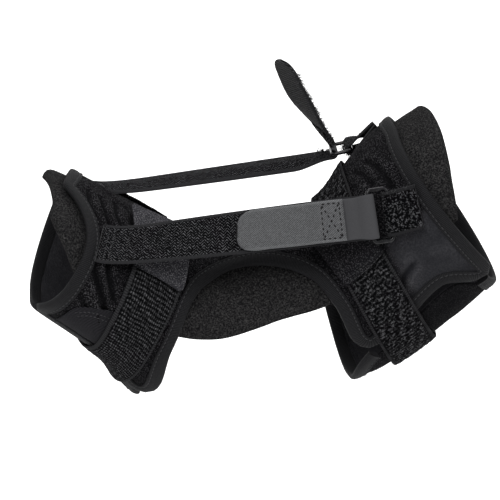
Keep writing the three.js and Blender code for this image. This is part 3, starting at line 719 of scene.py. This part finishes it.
def foot_stop(strap, t, lift):
    along, _, out = limb_frame(t, strap["foot_phi"], lift)[2:]
    return Stop(on_limb(t, strap["foot_phi"], lift), np.cross(along, out), -out)


def tension_stops(strap, buckle):
    """Stops from the foot's seam over its bend to the buckle and round its bar, the bend and the turn."""
    turn = bar_turn(buckle, 1)
    sewn = foot_stop(strap, strap["foot_t"], sewn_lift + WEBBING_THICKNESS)
    bend = foot_stop(strap, strap["foot_t"] + FOOT_SEAM_SHARE, sewn_lift + WEBBING_THICKNESS + LAYER_GAP)
    for stop in (sewn, bend):
        stop.across = stop.across * np.sign(stop.across @ buckle["across"])
    if strap is far_strap:
        bend.across = unit(bend.across + buckle["across"])
    clear = between(bend, turn[0], BEND_STEPS / STRAP_STEPS)
    rounded = [between(between(sewn, bend, f), between(bend, clear, f), f) for f in np.linspace(0, 1, BEND_STOPS)]
    straight = [between(bend, turn[0], k / STRAP_STEPS) for k in range(BEND_STEPS + 1, STRAP_STEPS + 1)]
    return rounded + straight + turn[1:], bend, turn


# Distances along each free strap, with its middle line, side and outward directions and thickness
lay = {}


def free_strap(name, stops, width, thickness, pile_lift, columns=15, droop=None):
    """Strap through free stops on a smooth line, its pile on the face at lift 0 or 1 of its thickness.

    droop gives the start and end of a stretch whose near edge bends inwards, and how far.
    """
    table = np.array([[*s.point, *s.across, *s.out, s.wide] for s in stops])
    length = run_along(table[:, :3])
    slope = np.gradient(table, length, axis=0)
    steps = max(4, int(length[-1] / FREE_STRAP_SPACING))
    distance = np.unique(np.round(np.concatenate([np.linspace(0, length[-1], steps + 1), length]), 5))
    distance = distance[np.concatenate([[True], np.diff(distance) > CLOSEST_RINGS])]
    i = np.clip(np.searchsorted(length, distance, side="right") - 1, 0, len(length) - 2)
    gap = (length[i + 1] - length[i])[:, None]
    fine = eased(table[i], table[i + 1], slope[i] * gap, slope[i + 1] * gap, (distance - length[i])[:, None] / gap)
    middle, side, out = fine[:, :3], unit(fine[:, 3:6]), unit(fine[:, 6:9])
    half, up = strap_section(columns, fine[:, 9], width, thickness)
    rings = middle[:, None] + side[:, None] * half[..., None] + out[:, None] * (up * thickness)[:, None]
    if droop is not None:
        start, end, depth = droop
        stretch = np.clip((distance - start) / DROOP_START, 0, 1) * np.clip((end - distance) / DROOP_END, 0, 1)
        near_edge = -np.sign(side[:, 1:2]) * half / (width / 2)
        bent = np.clip(near_edge - LEVEL_SHARE, 0, 1) ** DROOP_POWER
        fall = depth * (stretch * stretch * (3 - 2 * stretch))[:, None] * bent
        rings = rings + out[:, None] * fall[..., None]
    lay[name] = distance, middle, side, out, thickness
    return strap_piece(name, rings, distance, half, up if pile_lift else 1 - up)


near_buckle = buckle_place(near_strap)
far_buckle = buckle_place(far_strap)
near_stops, near_bend, near_turn = tension_stops(near_strap, near_buckle)
far_stops, _, far_turn = tension_stops(far_strap, far_buckle)
tail_share = HOOK_TAB_WIDTH / STRAP_WIDTH


def over_strap(distance, height, wide=1.0):
    """Place over the near tension strap, back from its buckle and above it."""
    f = distance / np.linalg.norm(near_bend.point - near_turn[0].point)
    here = between(near_turn[0], near_bend, f)
    return Stop(here.point - here.out * height, here.across, -here.out, wide)


far_tab_start = TAIL_START + TAB_LEAD
far_tab_end = far_tab_start + HOOK_TAB_LENGTH
base_pitch = math.radians(TAIL_BASE_PITCH)
pitch_turn = math.radians(TAIL_TIP_PITCH - TAIL_BASE_PITCH) / far_tab_end
tab_height = WEBBING_THICKNESS + SEWN_GAP


def on_tail(distance, height, wide=1.0):
    """Place on the far tail, lifted off its strap, bending upwards and turned to the near side."""
    start = far_turn[-1]
    pitch = base_pitch + pitch_turn * distance
    run = np.array([-math.cos(pitch), 0, math.sin(pitch)])
    bent = np.array([math.sin(base_pitch) - math.sin(pitch), 0, math.cos(base_pitch) - math.cos(pitch)]) / pitch_turn
    across = unit(far_buckle["across"] - run * (far_buckle["across"] @ run))
    across = turned(across, run, TAIL_TWIST * min(distance / TAIL_TWIST_LENGTH, 1))
    out = unit(np.cross(run, across))
    out = out * np.sign(out @ start.out)
    return Stop(start.point + bent + out * height, across, out, wide)


TAB_START = RETURN_LENGTH
TAB_DOWN = RETURN_LENGTH + SEWN_OVERLAP + TAB_DROP_LENGTH
TAB_END = RETURN_LENGTH + HOOK_TAB_LENGTH
over_webbing = 2 * LAYER_GAP + WEBBING_THICKNESS
near_strap_piece = free_strap("near_strap_webbing", near_stops + [
    over_strap(d, LAYER_GAP, tail_share) for d in (RETURN_LENGTH / 2, TAB_START, TAB_START + SEWN_OVERLAP)
], STRAP_WIDTH, WEBBING_THICKNESS, 0)
near_tab = free_strap("near_hook_tab_tape", [
    over_strap(TAB_START, over_webbing), over_strap(TAB_START + SEWN_OVERLAP + LAYER_GAP, over_webbing),
    over_strap(TAB_DOWN, LAYER_GAP), over_strap((TAB_DOWN + TAB_END) / 2, LAYER_GAP),
    *(over_strap(TAB_END - share * HOOK_TAB_WIDTH, LAYER_GAP, wide) for share, wide in TIP_SHARES),
], HOOK_TAB_WIDTH, TAB_THICKNESS, 1)
far_length = np.linalg.norm(far_turn[0].point - far_stops[0].point)
far_strap_piece = free_strap("far_strap_webbing", far_stops + [
    on_tail(TAIL_START + share * SEWN_OVERLAP, share * TAIL_RISE, tail_share * wide) for share, wide in TAIL_SHARES
], STRAP_WIDTH, WEBBING_THICKNESS, 0, columns=25, droop=(-DROOP_START / 2, far_length - MM, DROOP_DEPTH))
far_tab = free_strap("far_hook_tab_tape", [
    *(on_tail(d, tab_height) for d in (far_tab_start, TAIL_START + SEWN_OVERLAP / 2, TAIL_START + SEWN_OVERLAP,
                                       TAIL_TWIST_LENGTH / 1.5, TAIL_TWIST_LENGTH, far_tab_end - HOOK_TAB_WIDTH / 2)),
    *(on_tail(far_tab_end - share * HOOK_TAB_WIDTH, tab_height, wide) for share, wide in TIP_SHARES),
], HOOK_TAB_WIDTH, TAB_THICKNESS, 1)


def anchor_strap(name, strap, buckle):
    """Webbing sewn to the shin, folded round the buckle's other bar."""
    hold = bar_turn(buckle, -1)
    out = limb_frame(strap["anchor_t"], strap["anchor_phi"], shell_top)[-1]
    sewn = on_limb(strap["anchor_t"], strap["anchor_phi"], sewn_lift + WEBBING_THICKNESS)
    across = unit(np.cross(out, sewn - buckle["middle"]))
    across = across * np.sign(across @ buckle["across"])
    lower_end, upper_end = Stop(sewn, across, -out), Stop(sewn + out * LAYER_GAP, across, out)
    lower = [between(lower_end, hold[0], k / ANCHOR_STEPS) for k in range(ANCHOR_STEPS)]
    upper = [between(hold[-1], upper_end, k / ANCHOR_STEPS) for k in range(1, ANCHOR_STEPS + 1)]
    return free_strap(name, lower + hold + upper, STRAP_WIDTH, WEBBING_THICKNESS, 1)


near_anchor = anchor_strap("near_anchor_webbing", near_strap, near_buckle)
far_anchor = anchor_strap("far_anchor_webbing", far_strap, far_buckle)


def deselect():
    for other in bpy.context.selected_objects:
        other.select_set(False)


def wire_buckle(name, buckle):
    """Wire loop: the outline of a flat rectangle with rounded corners, thickened to the wire and set in its place."""
    deselect()
    bpy.ops.mesh.primitive_plane_add(size=1, location=(0, 0, 0))
    loop = bpy.context.object
    loop.name = name
    loop.scale = (2 * bar_offset, buckle_inner + BUCKLE_WIRE, 1)
    bpy.ops.object.transform_apply(location=False, rotation=False, scale=True)
    bpy.ops.object.mode_set(mode="EDIT")
    bpy.ops.mesh.select_all(action="SELECT")
    bpy.ops.mesh.bevel(offset=BUCKLE_WIRE, segments=8, affect="VERTICES")
    bpy.ops.mesh.select_all(action="SELECT")
    bpy.ops.mesh.delete(type="ONLY_FACE")
    bpy.ops.object.mode_set(mode="OBJECT")
    bpy.ops.object.convert(target="CURVE")
    loop.data.bevel_depth = BUCKLE_WIRE / 2
    loop.data.bevel_resolution = 6
    bpy.ops.object.convert(target="MESH")
    turn = Matrix([buckle["run"], buckle["across"], buckle["out"]]).transposed().to_4x4()
    loop.matrix_world = Matrix.Translation(buckle["middle"]) @ turn
    bpy.ops.object.transform_apply(location=True, rotation=True, scale=True)
    bpy.ops.object.mode_set(mode="EDIT")
    bpy.ops.mesh.select_all(action="SELECT")
    bpy.ops.mesh.normals_make_consistent(inside=False)
    bpy.ops.object.mode_set(mode="OBJECT")
    bpy.ops.object.shade_smooth()
    return loop


near_loop = wire_buckle("near_wire_loop", near_buckle)
far_loop = wire_buckle("far_wire_loop", far_buckle)


def strap_seam(name, stops, face=1):
    """Seam through places along and across a free strap, on its face at lift 0 or 1."""
    distance, middle, side, out, thickness = lay[name]
    fine = np.linspace(0, len(stops) - 1, 10 * len(stops))
    d, across = at_run(fine, np.arange(len(stops)), np.array(stops)).T
    middle, side, out = (at_run(d, distance, table) for table in (middle, side, out))
    return middle + side * across[:, None] + out * (thickness * face), out * (1 if face else -1)


def box_seam(name, start, end, half, face=1):
    """Stitched box with a cross in it, on a hook tab's sewn end."""
    corners = [(start, -half), (start, half), (end, half), (end, -half), (start, -half)]
    return [strap_seam(name, corners, face), strap_seam(name, [(start, -half), (end, half)], face),
            strap_seam(name, [(start, half), (end, -half)], face)]


def stitches(name, lines, pitch, length, thick):
    """Row of stitches along each line, all copies of one stitch."""
    deselect()
    bpy.ops.mesh.primitive_uv_sphere_add(segments=6, ring_count=5, radius=0.5, location=(0, 0, 0))
    piece = bpy.context.object
    piece.name = name
    one = np.array([v.co[:] for v in piece.data.vertices])
    one = one[:, [2, 0, 1]] * [length, thick, thick]
    one[:, 2] -= STITCH_SAG * thick * (one[:, 0] / length) ** 2
    shape = sorted(tuple(p.vertices) for p in piece.data.polygons)
    bpy.data.objects.remove(piece)
    points, faces = [], []
    for line, out in lines:
        run = run_along(line)
        count = max(1, int(run[-1] / pitch))
        for middle in (np.arange(count) + 0.5) * run[-1] / count:
            here, up = at_run(middle, run, line), at_run(middle, run, out)
            along = unit(at_run(middle + length / 2, run, line) - at_run(middle - length / 2, run, line))
            up = unit(up - along * (up @ along))
            faces += [tuple(len(points) * len(one) + k for k in f) for f in shape]
            points.append(here + one @ np.array([along, np.cross(up, along), up]))
    return new_piece(name, np.concatenate(points), faces)


def fuzz(name, roots, seed, length, thick):
    """Loose fibres that stand off cloth, each a thin curved thread from its root and outward direction."""
    drawn = np.random.default_rng(seed)
    points, faces = [], []
    sides, last = len(FIBRE_SIDES), len(FIBRE_SIDES) * (FIBRE_RINGS - 1)
    walls = [(a, a + sides, b + sides, b) for k in range(FIBRE_RINGS - 1)
             for a, b in zip(range(k * sides, (k + 1) * sides), (k * sides + 1, k * sides + 2, k * sides))]
    for root, out in roots:
        away = unit(out + drawn.normal(size=3) * FIBRE_SPREAD)
        bend = drawn.normal(size=3) * FIBRE_BEND
        far = drawn.uniform(SHORTEST_FIBRE, 1.0) * length
        side = unit(np.cross(away, bend))
        other = unit(np.cross(away, side))
        base = len(points)
        for k, f in enumerate(np.linspace(0, 1, FIBRE_RINGS)):
            thin = thick / 2 * (1 - FIBRE_TAPER * k)
            middle = root + far * (away * f + bend * f * f * FIBRE_CURL)
            points += [middle + thin * (side * math.cos(a) + other * math.sin(a)) for a in FIBRE_SIDES]
        faces += [tuple(base + k for k in wall) for wall in (*walls, (2, 1, 0), (last, last + 1, last + 2))]
    return new_piece(name, np.array(points), faces)


def strap_roots(name, start, end, across, out_share, count, seed, face=1):
    """Roots of fuzz along a free strap at a place across it, leaning outwards over its edge."""
    distance, middle, side, out, thickness = lay[name]
    drawn = np.random.default_rng(seed)
    roots = []
    for d in drawn.uniform(start, end, count):
        here, sideways, up = (at_run(d, distance, table) for table in (middle, side, out))
        place = here + sideways * (across + drawn.normal() * ROOT_SPREAD) + up * (thickness * face)
        lean = sideways * np.sign(across) * (1 - out_share) + up * (out_share * (1 if face else -1))
        roots.append((place, lean))
    return roots


patch_top = sewn_lift + PATCH_THICKNESS
tab_half = HOOK_TAB_WIDTH / 2 - 2.2 * MM
seam_half = 11 * MM
tape_stitches = stitches("tape_stitches", seams, pitch=3.2 * MM, length=2.5 * MM, thick=0.7 * MM)
cloth_seams = stitches("cloth_seams", [
    *(limb_seam(stops, tab_top) for stops in (
        [(4.98, 60), (5.30, 61), (5.66, 61.5)], [(4.98, 57), (5.30, 58), (5.66, 58.5)],
        [(4.93, 28), (4.97, 44), (5.02, 58)],
        [(1.84, 52), (2.12, 53), (2.40, 53)], [(1.84, 49), (2.12, 50), (2.40, 50)])),
    *(limb_seam([(1.12, 2 * way), (1.20, 12 * way), (1.32, 22 * way), (1.38, 30 * way)], shell_top)
      for way in (1, -1)),
    limb_seam([(1.34, 107), (1.50, 99.5), (1.72, 96), (1.94, 96), (2.00, 100)], patch_top),
    limb_seam([(1.38, 109), (1.52, 102), (1.72, 99), (1.90, 99)], patch_top),
    *(strap_seam(name, [(d, -seam_half), (d, seam_half)], 0) for name, d in (
        ("near_strap_webbing", 4 * MM), ("near_strap_webbing", 7 * MM), ("far_strap_webbing", 4 * MM))),
], pitch=2.6 * MM, length=2.0 * MM, thick=0.6 * MM)
box_stitches = stitches("box_stitches", [
    *box_seam("near_hook_tab_tape", 2.5 * MM, SEWN_OVERLAP - MM, tab_half),
    *box_seam("far_hook_tab_tape", 1.5 * MM, 11 * MM, tab_half, 1),
    *box_seam("far_hook_tab_tape", 1.5 * MM, 11 * MM, tab_half, 0),
], pitch=3.2 * MM, length=2.3 * MM, thick=0.9 * MM)
tab_edge, strap_edge = HOOK_TAB_WIDTH / 2 - 0.6 * MM, STRAP_WIDTH / 2 - MM
tab_fuzz = fuzz("tab_fuzz", [
    *strap_roots("far_hook_tab_tape", 4 * MM, 60 * MM, -tab_edge, out_share=0.15, count=260, seed=31),
    *strap_roots("far_hook_tab_tape", 4 * MM, 60 * MM, tab_edge, out_share=0.15, count=260, seed=32),
], seed=33, length=3.2 * MM, thick=0.34 * MM)
anchor_fuzz = fuzz("anchor_fuzz", [
    *strap_roots("far_anchor_webbing", 16 * MM, 42 * MM, -strap_edge, out_share=0.4, count=60, seed=34),
    *strap_roots("far_anchor_webbing", 16 * MM, 42 * MM, strap_edge, out_share=0.4, count=60, seed=35),
    *strap_roots("near_anchor_webbing", 20 * MM, 40 * MM, strap_edge, out_share=0.4, count=30, seed=36),
], seed=37, length=2 * MM, thick=0.22 * MM)
far_fold = lay["far_anchor_webbing"][0][-1] / 2
# Loop pile on the far anchor's fold and on the strap's end that lies under it
loop_pile = fuzz("loop_pile", [
    root for name, start, end, rows, count, seed, face in (
        ("far_anchor_webbing", far_fold - 17 * MM, far_fold + MM, 13, 26, 900, 1),
        ("far_strap_webbing", far_length - 9 * MM, far_length + MM, 9, 9, 700, 0))
    for across in np.linspace(-0.45, 0.45, rows) * STRAP_WIDTH
    for root in strap_roots(name, start, end, across, 1.0, count, int(seed + across * 1e4), face)
], seed=38, length=3.4 * MM, thick=0.6 * MM)


class Value:
    """Output of a finish's node that Python's operators work on."""

    def __init__(self, finish, socket):
        self.finish, self.socket = finish, socket

    def math(self, operation, *others):
        return self.finish.node("ShaderNodeMath", {"operation": operation}, dict(enumerate((self, *others))))

    def __add__(self, other):
        return self.math("ADD", other)

    __radd__ = __add__

    def __sub__(self, other):
        return self.math("SUBTRACT", other)

    def __rsub__(self, other):
        return (self * -1).math("ADD", other)

    def __mul__(self, other):
        return self.math("MULTIPLY", other)

    __rmul__ = __mul__

    def __pow__(self, other):
        return self.math("POWER", other)

    def __abs__(self):
        return self.math("ABSOLUTE")

    def wave(self, pitch):
        """Soft ridges from 0 to 1, one in each pitch."""
        return (self * (2 * math.pi / pitch)).math("SINE") * 0.5 + 0.5

    def zigzag(self, height):
        return self.math("PINGPONG", height)

    def step(self, start, end):
        """0 before start and 1 after end, smooth between them."""
        return self.finish.node("ShaderNodeMapRange", {"interpolation_type": "SMOOTHSTEP"},
                                {"Value": self, "From Min": start, "From Max": end})

    def mix(self, low, high):
        return low + self * (high - low)


class Finish:
    """Cloth or wire finish: a material whose look is built from its own nodes."""

    def __init__(self, name, roughness, specular):
        self.material = bpy.data.materials.new(name)
        self.material.use_nodes = True
        self.tree = self.material.node_tree
        self.shader = self.tree.nodes["Principled BSDF"]
        self.shader.inputs["Roughness"].default_value = roughness
        self.shader.inputs["Specular IOR Level"].default_value = specular
        self.place = self.node("ShaderNodeTexCoord", {}, {}, "Object")

    def node(self, kind, settings, inputs, output=0):
        node = self.tree.nodes.new(kind)
        for name, value in settings.items():
            setattr(node, name, value)
        for name, value in inputs.items():
            if isinstance(value, Value):
                self.tree.links.new(value.socket, node.inputs[name])
            else:
                node.inputs[name].default_value = value
        return Value(self, node.outputs[output])

    def feed(self, name, value):
        self.tree.links.new(value.socket, self.shader.inputs[name])

    def cloth_map(self):
        """Metres along and across the cloth."""
        places = self.node("ShaderNodeUVMap", {"uv_map": "cloth"}, {})
        return [self.node("ShaderNodeSeparateXYZ", {}, {"Vector": places}, k) for k in (0, 1)]

    def mark(self, name):
        return self.node("ShaderNodeAttribute", {"attribute_name": name}, {}, "Fac")

    def noise(self, size, detail=2.0, roughness=0.5):
        """Cloudy value around 0.5 whose spots are about the given size."""
        return self.node("ShaderNodeTexNoise", {}, {"Vector": self.place, "Scale": 1 / size, "Detail": detail,
                                                    "Roughness": roughness})

    def nubs(self, size):
        """Rounded tufts from 0 between them to 1 on top."""
        far = self.node("ShaderNodeTexVoronoi", {"feature": "F1"}, {"Vector": self.place, "Scale": 1 / size})
        return 1 - far.step(0.0, 0.75)

    def colour(self, share, dark, light, *others):
        """Colour from dark to light by a share, and over it other colours, each after its own share."""
        mixed = (*dark, 1)
        for factor, over in ((share, light), *others):
            mixed = self.node("ShaderNodeMix", {"data_type": "RGBA"}, {"Factor": factor, 6: mixed, 7: (*over, 1)}, 2)
        self.feed("Base Color", mixed)

    def relief(self, height, depth, strength=1.0):
        self.feed("Normal", self.node("ShaderNodeBump", {}, {"Height": height, "Distance": depth,
                                                            "Strength": strength}))


def grey(shade, blue=1.0):
    return shade, shade, shade * blue


def plush_finish(f, dark, light):
    """Loop-faced laminate: fine tufts, brushed smooth on the near shin wing, with painted shade on the far one."""
    tufts = f.nubs(1.0 * MM) * 0.5 + f.noise(1.2 * MM, 3.0, 0.6) * 0.6
    cloud = f.noise(11 * MM, 3.0).step(0.25, 0.75).mix(0.7, 1.15)
    # The far shin wing's mark darkens the colour there to 0.35 as painted shade.
    smooth, deep = f.mark("smooth_nap"), f.mark("far_wing_shade")
    # The tufts' height sets the colour: painted shade between them and painted highlight on their tops.
    pile = smooth.mix(tufts.step(0.25, 1.0) ** 1.6, f.noise(1.1 * MM, 3.0).step(0.25, 0.8) * 0.4 + 0.2)
    # The folds' hollow mark darkens the colour down to 0.12 with their depth: painted shade in the folds.
    f.colour(pile * cloud * deep.mix(1.0, 0.35) * f.mark("hollow").mix(1.0, 0.12), grey(dark, 1.15),
             (light, light * 0.97, light * 1.04), (smooth * 0.5, (0.0105, 0.0111, 0.0135)))
    f.relief(pile, 0.8 * MM)


def foam_finish(f):
    """Foam pad with a fine dense nap."""
    grain = f.noise(1.0 * MM, 3.0, 0.6).step(0.3, 0.75) ** 1.5 + f.noise(1.1 * MM, 1.0).step(0.6, 0.75) * 0.6
    cloud = f.noise(12 * MM, 2.0).step(0.2, 0.8)
    # The grain sets the colour: painted shade in its low places and painted highlight on its bright specks.
    f.colour(grain * cloud.mix(0.75, 1.05), (0.003, 0.003, 0.0034), (0.035, 0.0343, 0.034))
    f.relief(grain, 0.35 * MM)


def tape_finish(f):
    """Woven edge tape with fine ribs across it."""
    along = f.cloth_map()[0]
    ribs = (along + f.noise(4 * MM) * (0.4 * MM)).wave(1.0 * MM)
    grain = f.noise(0.9 * MM)
    f.colour((ribs * 0.6 + grain * 0.5) ** 1.5, (0.001, 0.001, 0.0014), (0.0135, 0.0135, 0.0145))
    f.relief(ribs * 0.7 + grain * 0.3, 0.25 * MM)


def patch_finish(f):
    """Sole patch's fine ribbed cloth."""
    along, across = f.cloth_map()
    ribs = (along + across * 0.35 + f.noise(6 * MM) * (0.8 * MM)).wave(1.4 * MM)
    f.colour((ribs * 0.75 + f.noise(0.9 * MM) * 0.3) ** 1.4, (0.0012, 0.0012, 0.0018), (0.0185, 0.018, 0.0205))
    f.relief(ribs, 0.3 * MM)


def selvedge(across, half_width, band):
    """1 on the smooth bands along a strap's two edges."""
    return abs(across).step(half_width - band - 0.5 * MM, half_width - band + 0.3 * MM)


def loop_webbing_finish(f, loose, light):
    """Herringbone or loose loops between smooth selvedges, and a smooth grey back."""
    along, across = f.cloth_map()
    if loose:
        rows = f.noise(1.8 * MM, 1.0).step(0.28, 0.66) * 0.75 + f.nubs(1.7 * MM) * 0.35
    else:
        rows = (across + along.zigzag(2.3 * MM) * 1.1 + f.noise(2.5 * MM) * (1.1 * MM)).wave(1.9 * MM)
    loops = (rows * (f.noise(0.9 * MM, 1.0).step(0.3, 0.7) * 0.7 + 0.45)).step(0.2, 0.95) ** 2.2
    edge = selvedge(across, STRAP_WIDTH / 2, 1.9 * MM)
    weave = (along + across).wave(0.9 * MM) * 0.25 + f.noise(0.7 * MM) * 0.35
    face = edge.mix(loops, weave * 0.4 + 0.1)
    back = weave * 0.5 + 0.45
    pile = f.mark("outer_face").step(0.35, 0.65)
    height = pile.mix(back, face)
    # On the loop face the colour follows the loops: painted shade between them and painted highlight on their tops;
    # the lighter selvedges and back are the webbing's own grey.
    f.colour(height, grey(0.0008, 1.25), grey(light, 1.06))
    f.relief(height, 0.5 * MM)


def elastic_finish(f, width, bead_pitch, wander, crinkled, light):
    """Knitted elastic: its modelled rows broken into small beads, and ladder edges."""
    along, across = f.cloth_map()
    bend = f.noise(3 * MM) * wander
    loops = f.noise(1.7 * MM, 1.0).step(0.33, 0.66) * (1.1 * crinkled)
    beads = (across + bend).wave(bead_pitch) * (1 - crinkled) + loops
    knit = (f.mark("ridge") * 0.8 + 0.2) * (beads * 0.55 + 0.4) * (f.noise(0.9 * MM, 1.0).step(0.25, 0.75) * 0.7 + 0.5)
    edge = selvedge(across, width / 2, 1.8 * MM)
    ladder = along.wave(1.6 * MM) * 0.2 + 0.12
    height = edge.mix(knit.step(0.12, 0.85) ** 1.7, ladder)
    # The knit's height sets the colour: painted shade in its low places, also between the modelled rows, and painted
    # highlight on the beads.
    f.colour(height, grey(0.0008, 1.25), grey(light, 1.05))
    f.relief(height, 0.5 * MM)


def hook_ribs(f, along, across):
    """Ribs of hooks across a tab, and its selvedges."""
    ribs = (along + f.noise(2 * MM) * (0.5 * MM)).wave(2.0 * MM) * 0.85 + f.noise(0.9 * MM) * 0.3
    return ribs, selvedge(across, HOOK_TAB_WIDTH / 2, 1.4 * MM)


def hook_finish(f):
    """Hook tape: cross ribs of hooks on its face and a diagonal twill on its back."""
    along, across = f.cloth_map()
    twill = (along * 0.8 + across + f.noise(3 * MM) * (0.4 * MM)).wave(1.3 * MM)
    twill = twill * 0.65 + f.noise(0.9 * MM).step(0.25, 0.75) * 0.4
    ribs, edge = hook_ribs(f, along, across)
    back = f.mark("outer_face").step(0.35, 0.65)
    f.colour(back.mix(ribs ** 2 * 0.45, twill * 0.8 + 0.12) + edge * 0.2, (0.003, 0.003, 0.0035), (0.088, 0.09, 0.093))
    f.relief(back.mix(ribs, twill), 0.35 * MM, 0.9)


def ribbed_hook_finish(f):
    """Far hook tape with broken ribs on both faces, coloured darker than the near tab's tape as painted shade."""
    ribs, edge = hook_ribs(f, *f.cloth_map())
    height = ribs * (f.nubs(1.3 * MM) * 0.5 + 0.55)
    # Its lightest colour, under half of the near hook tape's, is painted shade on the far tab.
    f.colour(edge.mix(height ** 1.5, 0.3), grey(0.0008, 1.25), (0.042, 0.042, 0.044))
    f.relief(height, 0.6 * MM)


def wire_finish(f):
    """Gloss black coated wire, a little worn."""
    wear = f.noise(3 * MM, 3.0)
    f.colour(wear.step(0.4, 0.75), (0.0015, 0.0015, 0.002), (0.008, 0.008, 0.009))
    f.relief(wear, 0.05 * MM, 0.5)


def thread_finish(f, light):
    """Sewing thread with a fine twist."""
    f.colour(f.noise(0.5 * MM), tuple(0.4 * c for c in light), light)


# Name, roughness and specular share of each finish, how it is built, and its own sizes and shades
finishes = {}
for name, roughness, specular, build, *looks in (
    ("plush_laminate", 0.95, 0.02, plush_finish, 0.0025, 0.055),
    ("tab_plush", 0.95, 0.02, plush_finish, 0.016, 0.2),
    ("calf_tab_plush", 0.95, 0.02, plush_finish, 0.004, 0.062),
    ("foam_pad", 0.95, 0.02, foam_finish),
    ("binding_tape", 0.7, 0.06, tape_finish),
    ("sole_patch_rib", 0.85, 0.04, patch_finish),
    ("loop_webbing", 0.9, 0.02, loop_webbing_finish, False, 0.058),
    ("anchor_loops", 0.9, 0.02, loop_webbing_finish, True, 0.04),
    ("foot_elastic_knit", 0.9, 0.02, elastic_finish, FOOT_ELASTIC_WIDTH, 1.6 * MM, 0.9 * MM, 0.2, 0.058),
    ("calf_elastic_knit", 0.9, 0.02, elastic_finish, CALF_ELASTIC_WIDTH, 1.9 * MM, 2.2 * MM, 0.85, 0.052),
    ("hook_tape", 0.75, 0.15, hook_finish),
    ("far_hook_tape_shaded", 0.75, 0.05, ribbed_hook_finish),
    ("dark_wire", 0.2, 0.16, wire_finish),
    ("tape_thread", 0.7, 0.15, thread_finish, (0.03, 0.03, 0.032)),
    ("dark_thread", 0.7, 0.15, thread_finish, (0.002, 0.002, 0.002)),
    ("loose_fibre", 0.7, 0.15, thread_finish, (0.05, 0.05, 0.052)),
    ("loop_fibre", 0.7, 0.15, thread_finish, (0.02, 0.02, 0.022)),
):
    finish = Finish(name, roughness, specular)
    build(finish, *looks)
    finishes[name] = finish.material

# The node that each piece stands for, its slot and its finish
dressing = (
    (shell, "shell", "plush_laminate", "plush_laminate"),
    (liner, "liner_pad", "foam_pad", "foam_pad"),
    (main_tape, "edge_tape_main", "binding_tape", "binding_tape"),
    (waist_tape, "edge_tape_far_waist", "binding_tape", "binding_tape"),
    (sole_patch, "sole_patch", "binding_tape", "sole_patch_rib"),
    (foot_elastic, "foot_elastic_strap", "elastic_webbing", "foot_elastic_knit"),
    (foot_tab, "foot_strap_tab", "plush_laminate", "tab_plush"),
    (calf_elastic, "calf_elastic_strap", "elastic_webbing", "calf_elastic_knit"),
    (calf_tab, "calf_strap_tab", "plush_laminate", "calf_tab_plush"),
    (near_strap_piece, "near_tension_strap", "loop_webbing", "loop_webbing"),
    (far_strap_piece, "far_tension_strap", "loop_webbing", "loop_webbing"),
    (near_anchor, "near_buckle_anchor", "loop_webbing", "anchor_loops"),
    (far_anchor, "far_buckle_anchor", "loop_webbing", "anchor_loops"),
    (near_tab, "near_hook_tab", "hook_tape", "hook_tape"),
    (far_tab, "far_hook_tab", "hook_tape", "far_hook_tape_shaded"),
    (near_loop, "near_buckle", "dark_wire", "dark_wire"),
    (far_loop, "far_buckle", "dark_wire", "dark_wire"),
    (tape_stitches, None, "binding_tape", "tape_thread"),
    (cloth_seams, None, "plush_laminate", "tape_thread"),
    (box_stitches, None, "hook_tape", "dark_thread"),
    (tab_fuzz, None, "loop_webbing", "loose_fibre"),
    (anchor_fuzz, None, "loop_webbing", "loose_fibre"),
    (loop_pile, None, "loop_webbing", "loop_fibre"),
)
for piece, node, slot, finish in dressing:
    piece.data.materials.clear()
    piece.data.materials.append(finishes[finish])
    if node:
        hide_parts(node)
    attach(piece, "root")

# Floor below the splint, and soft studio light
bpy.ops.mesh.primitive_plane_add(size=FLOOR_SIZE, location=(0, 0, CAD_BOX[0].z - FLOOR_DROP))
floor = bpy.context.object
floor.name = "floor"
pale = bpy.data.materials.new("pale_floor")
pale.use_nodes = True
pale_shader = pale.node_tree.nodes["Principled BSDF"]
pale_shader.inputs["Base Color"].default_value = (FLOOR_SHADE, FLOOR_SHADE, FLOOR_SHADE, 1)
pale_shader.inputs["Roughness"].default_value = FLOOR_ROUGHNESS
floor.data.materials.append(pale)
world = bpy.data.worlds.new("studio")
bpy.context.scene.world = world
world.use_nodes = True
world.node_tree.nodes["Background"].inputs["Color"].default_value = (1, 1, 1, 1)
world.node_tree.nodes["Background"].inputs["Strength"].default_value = 1.0
bpy.context.scene.view_settings.view_transform = "Standard"
for spot, size, power in SOFTBOXES:
    light = bpy.data.objects.new("softbox", bpy.data.lights.new("softbox", "AREA"))
    light.data.size = size
    light.data.energy = power
    light.location = spot
    light.rotation_euler = (Vector(LIGHT_AIM) - Vector(spot)).to_track_quat("-Z", "Y").to_euler()
    bpy.context.scene.collection.objects.link(light)
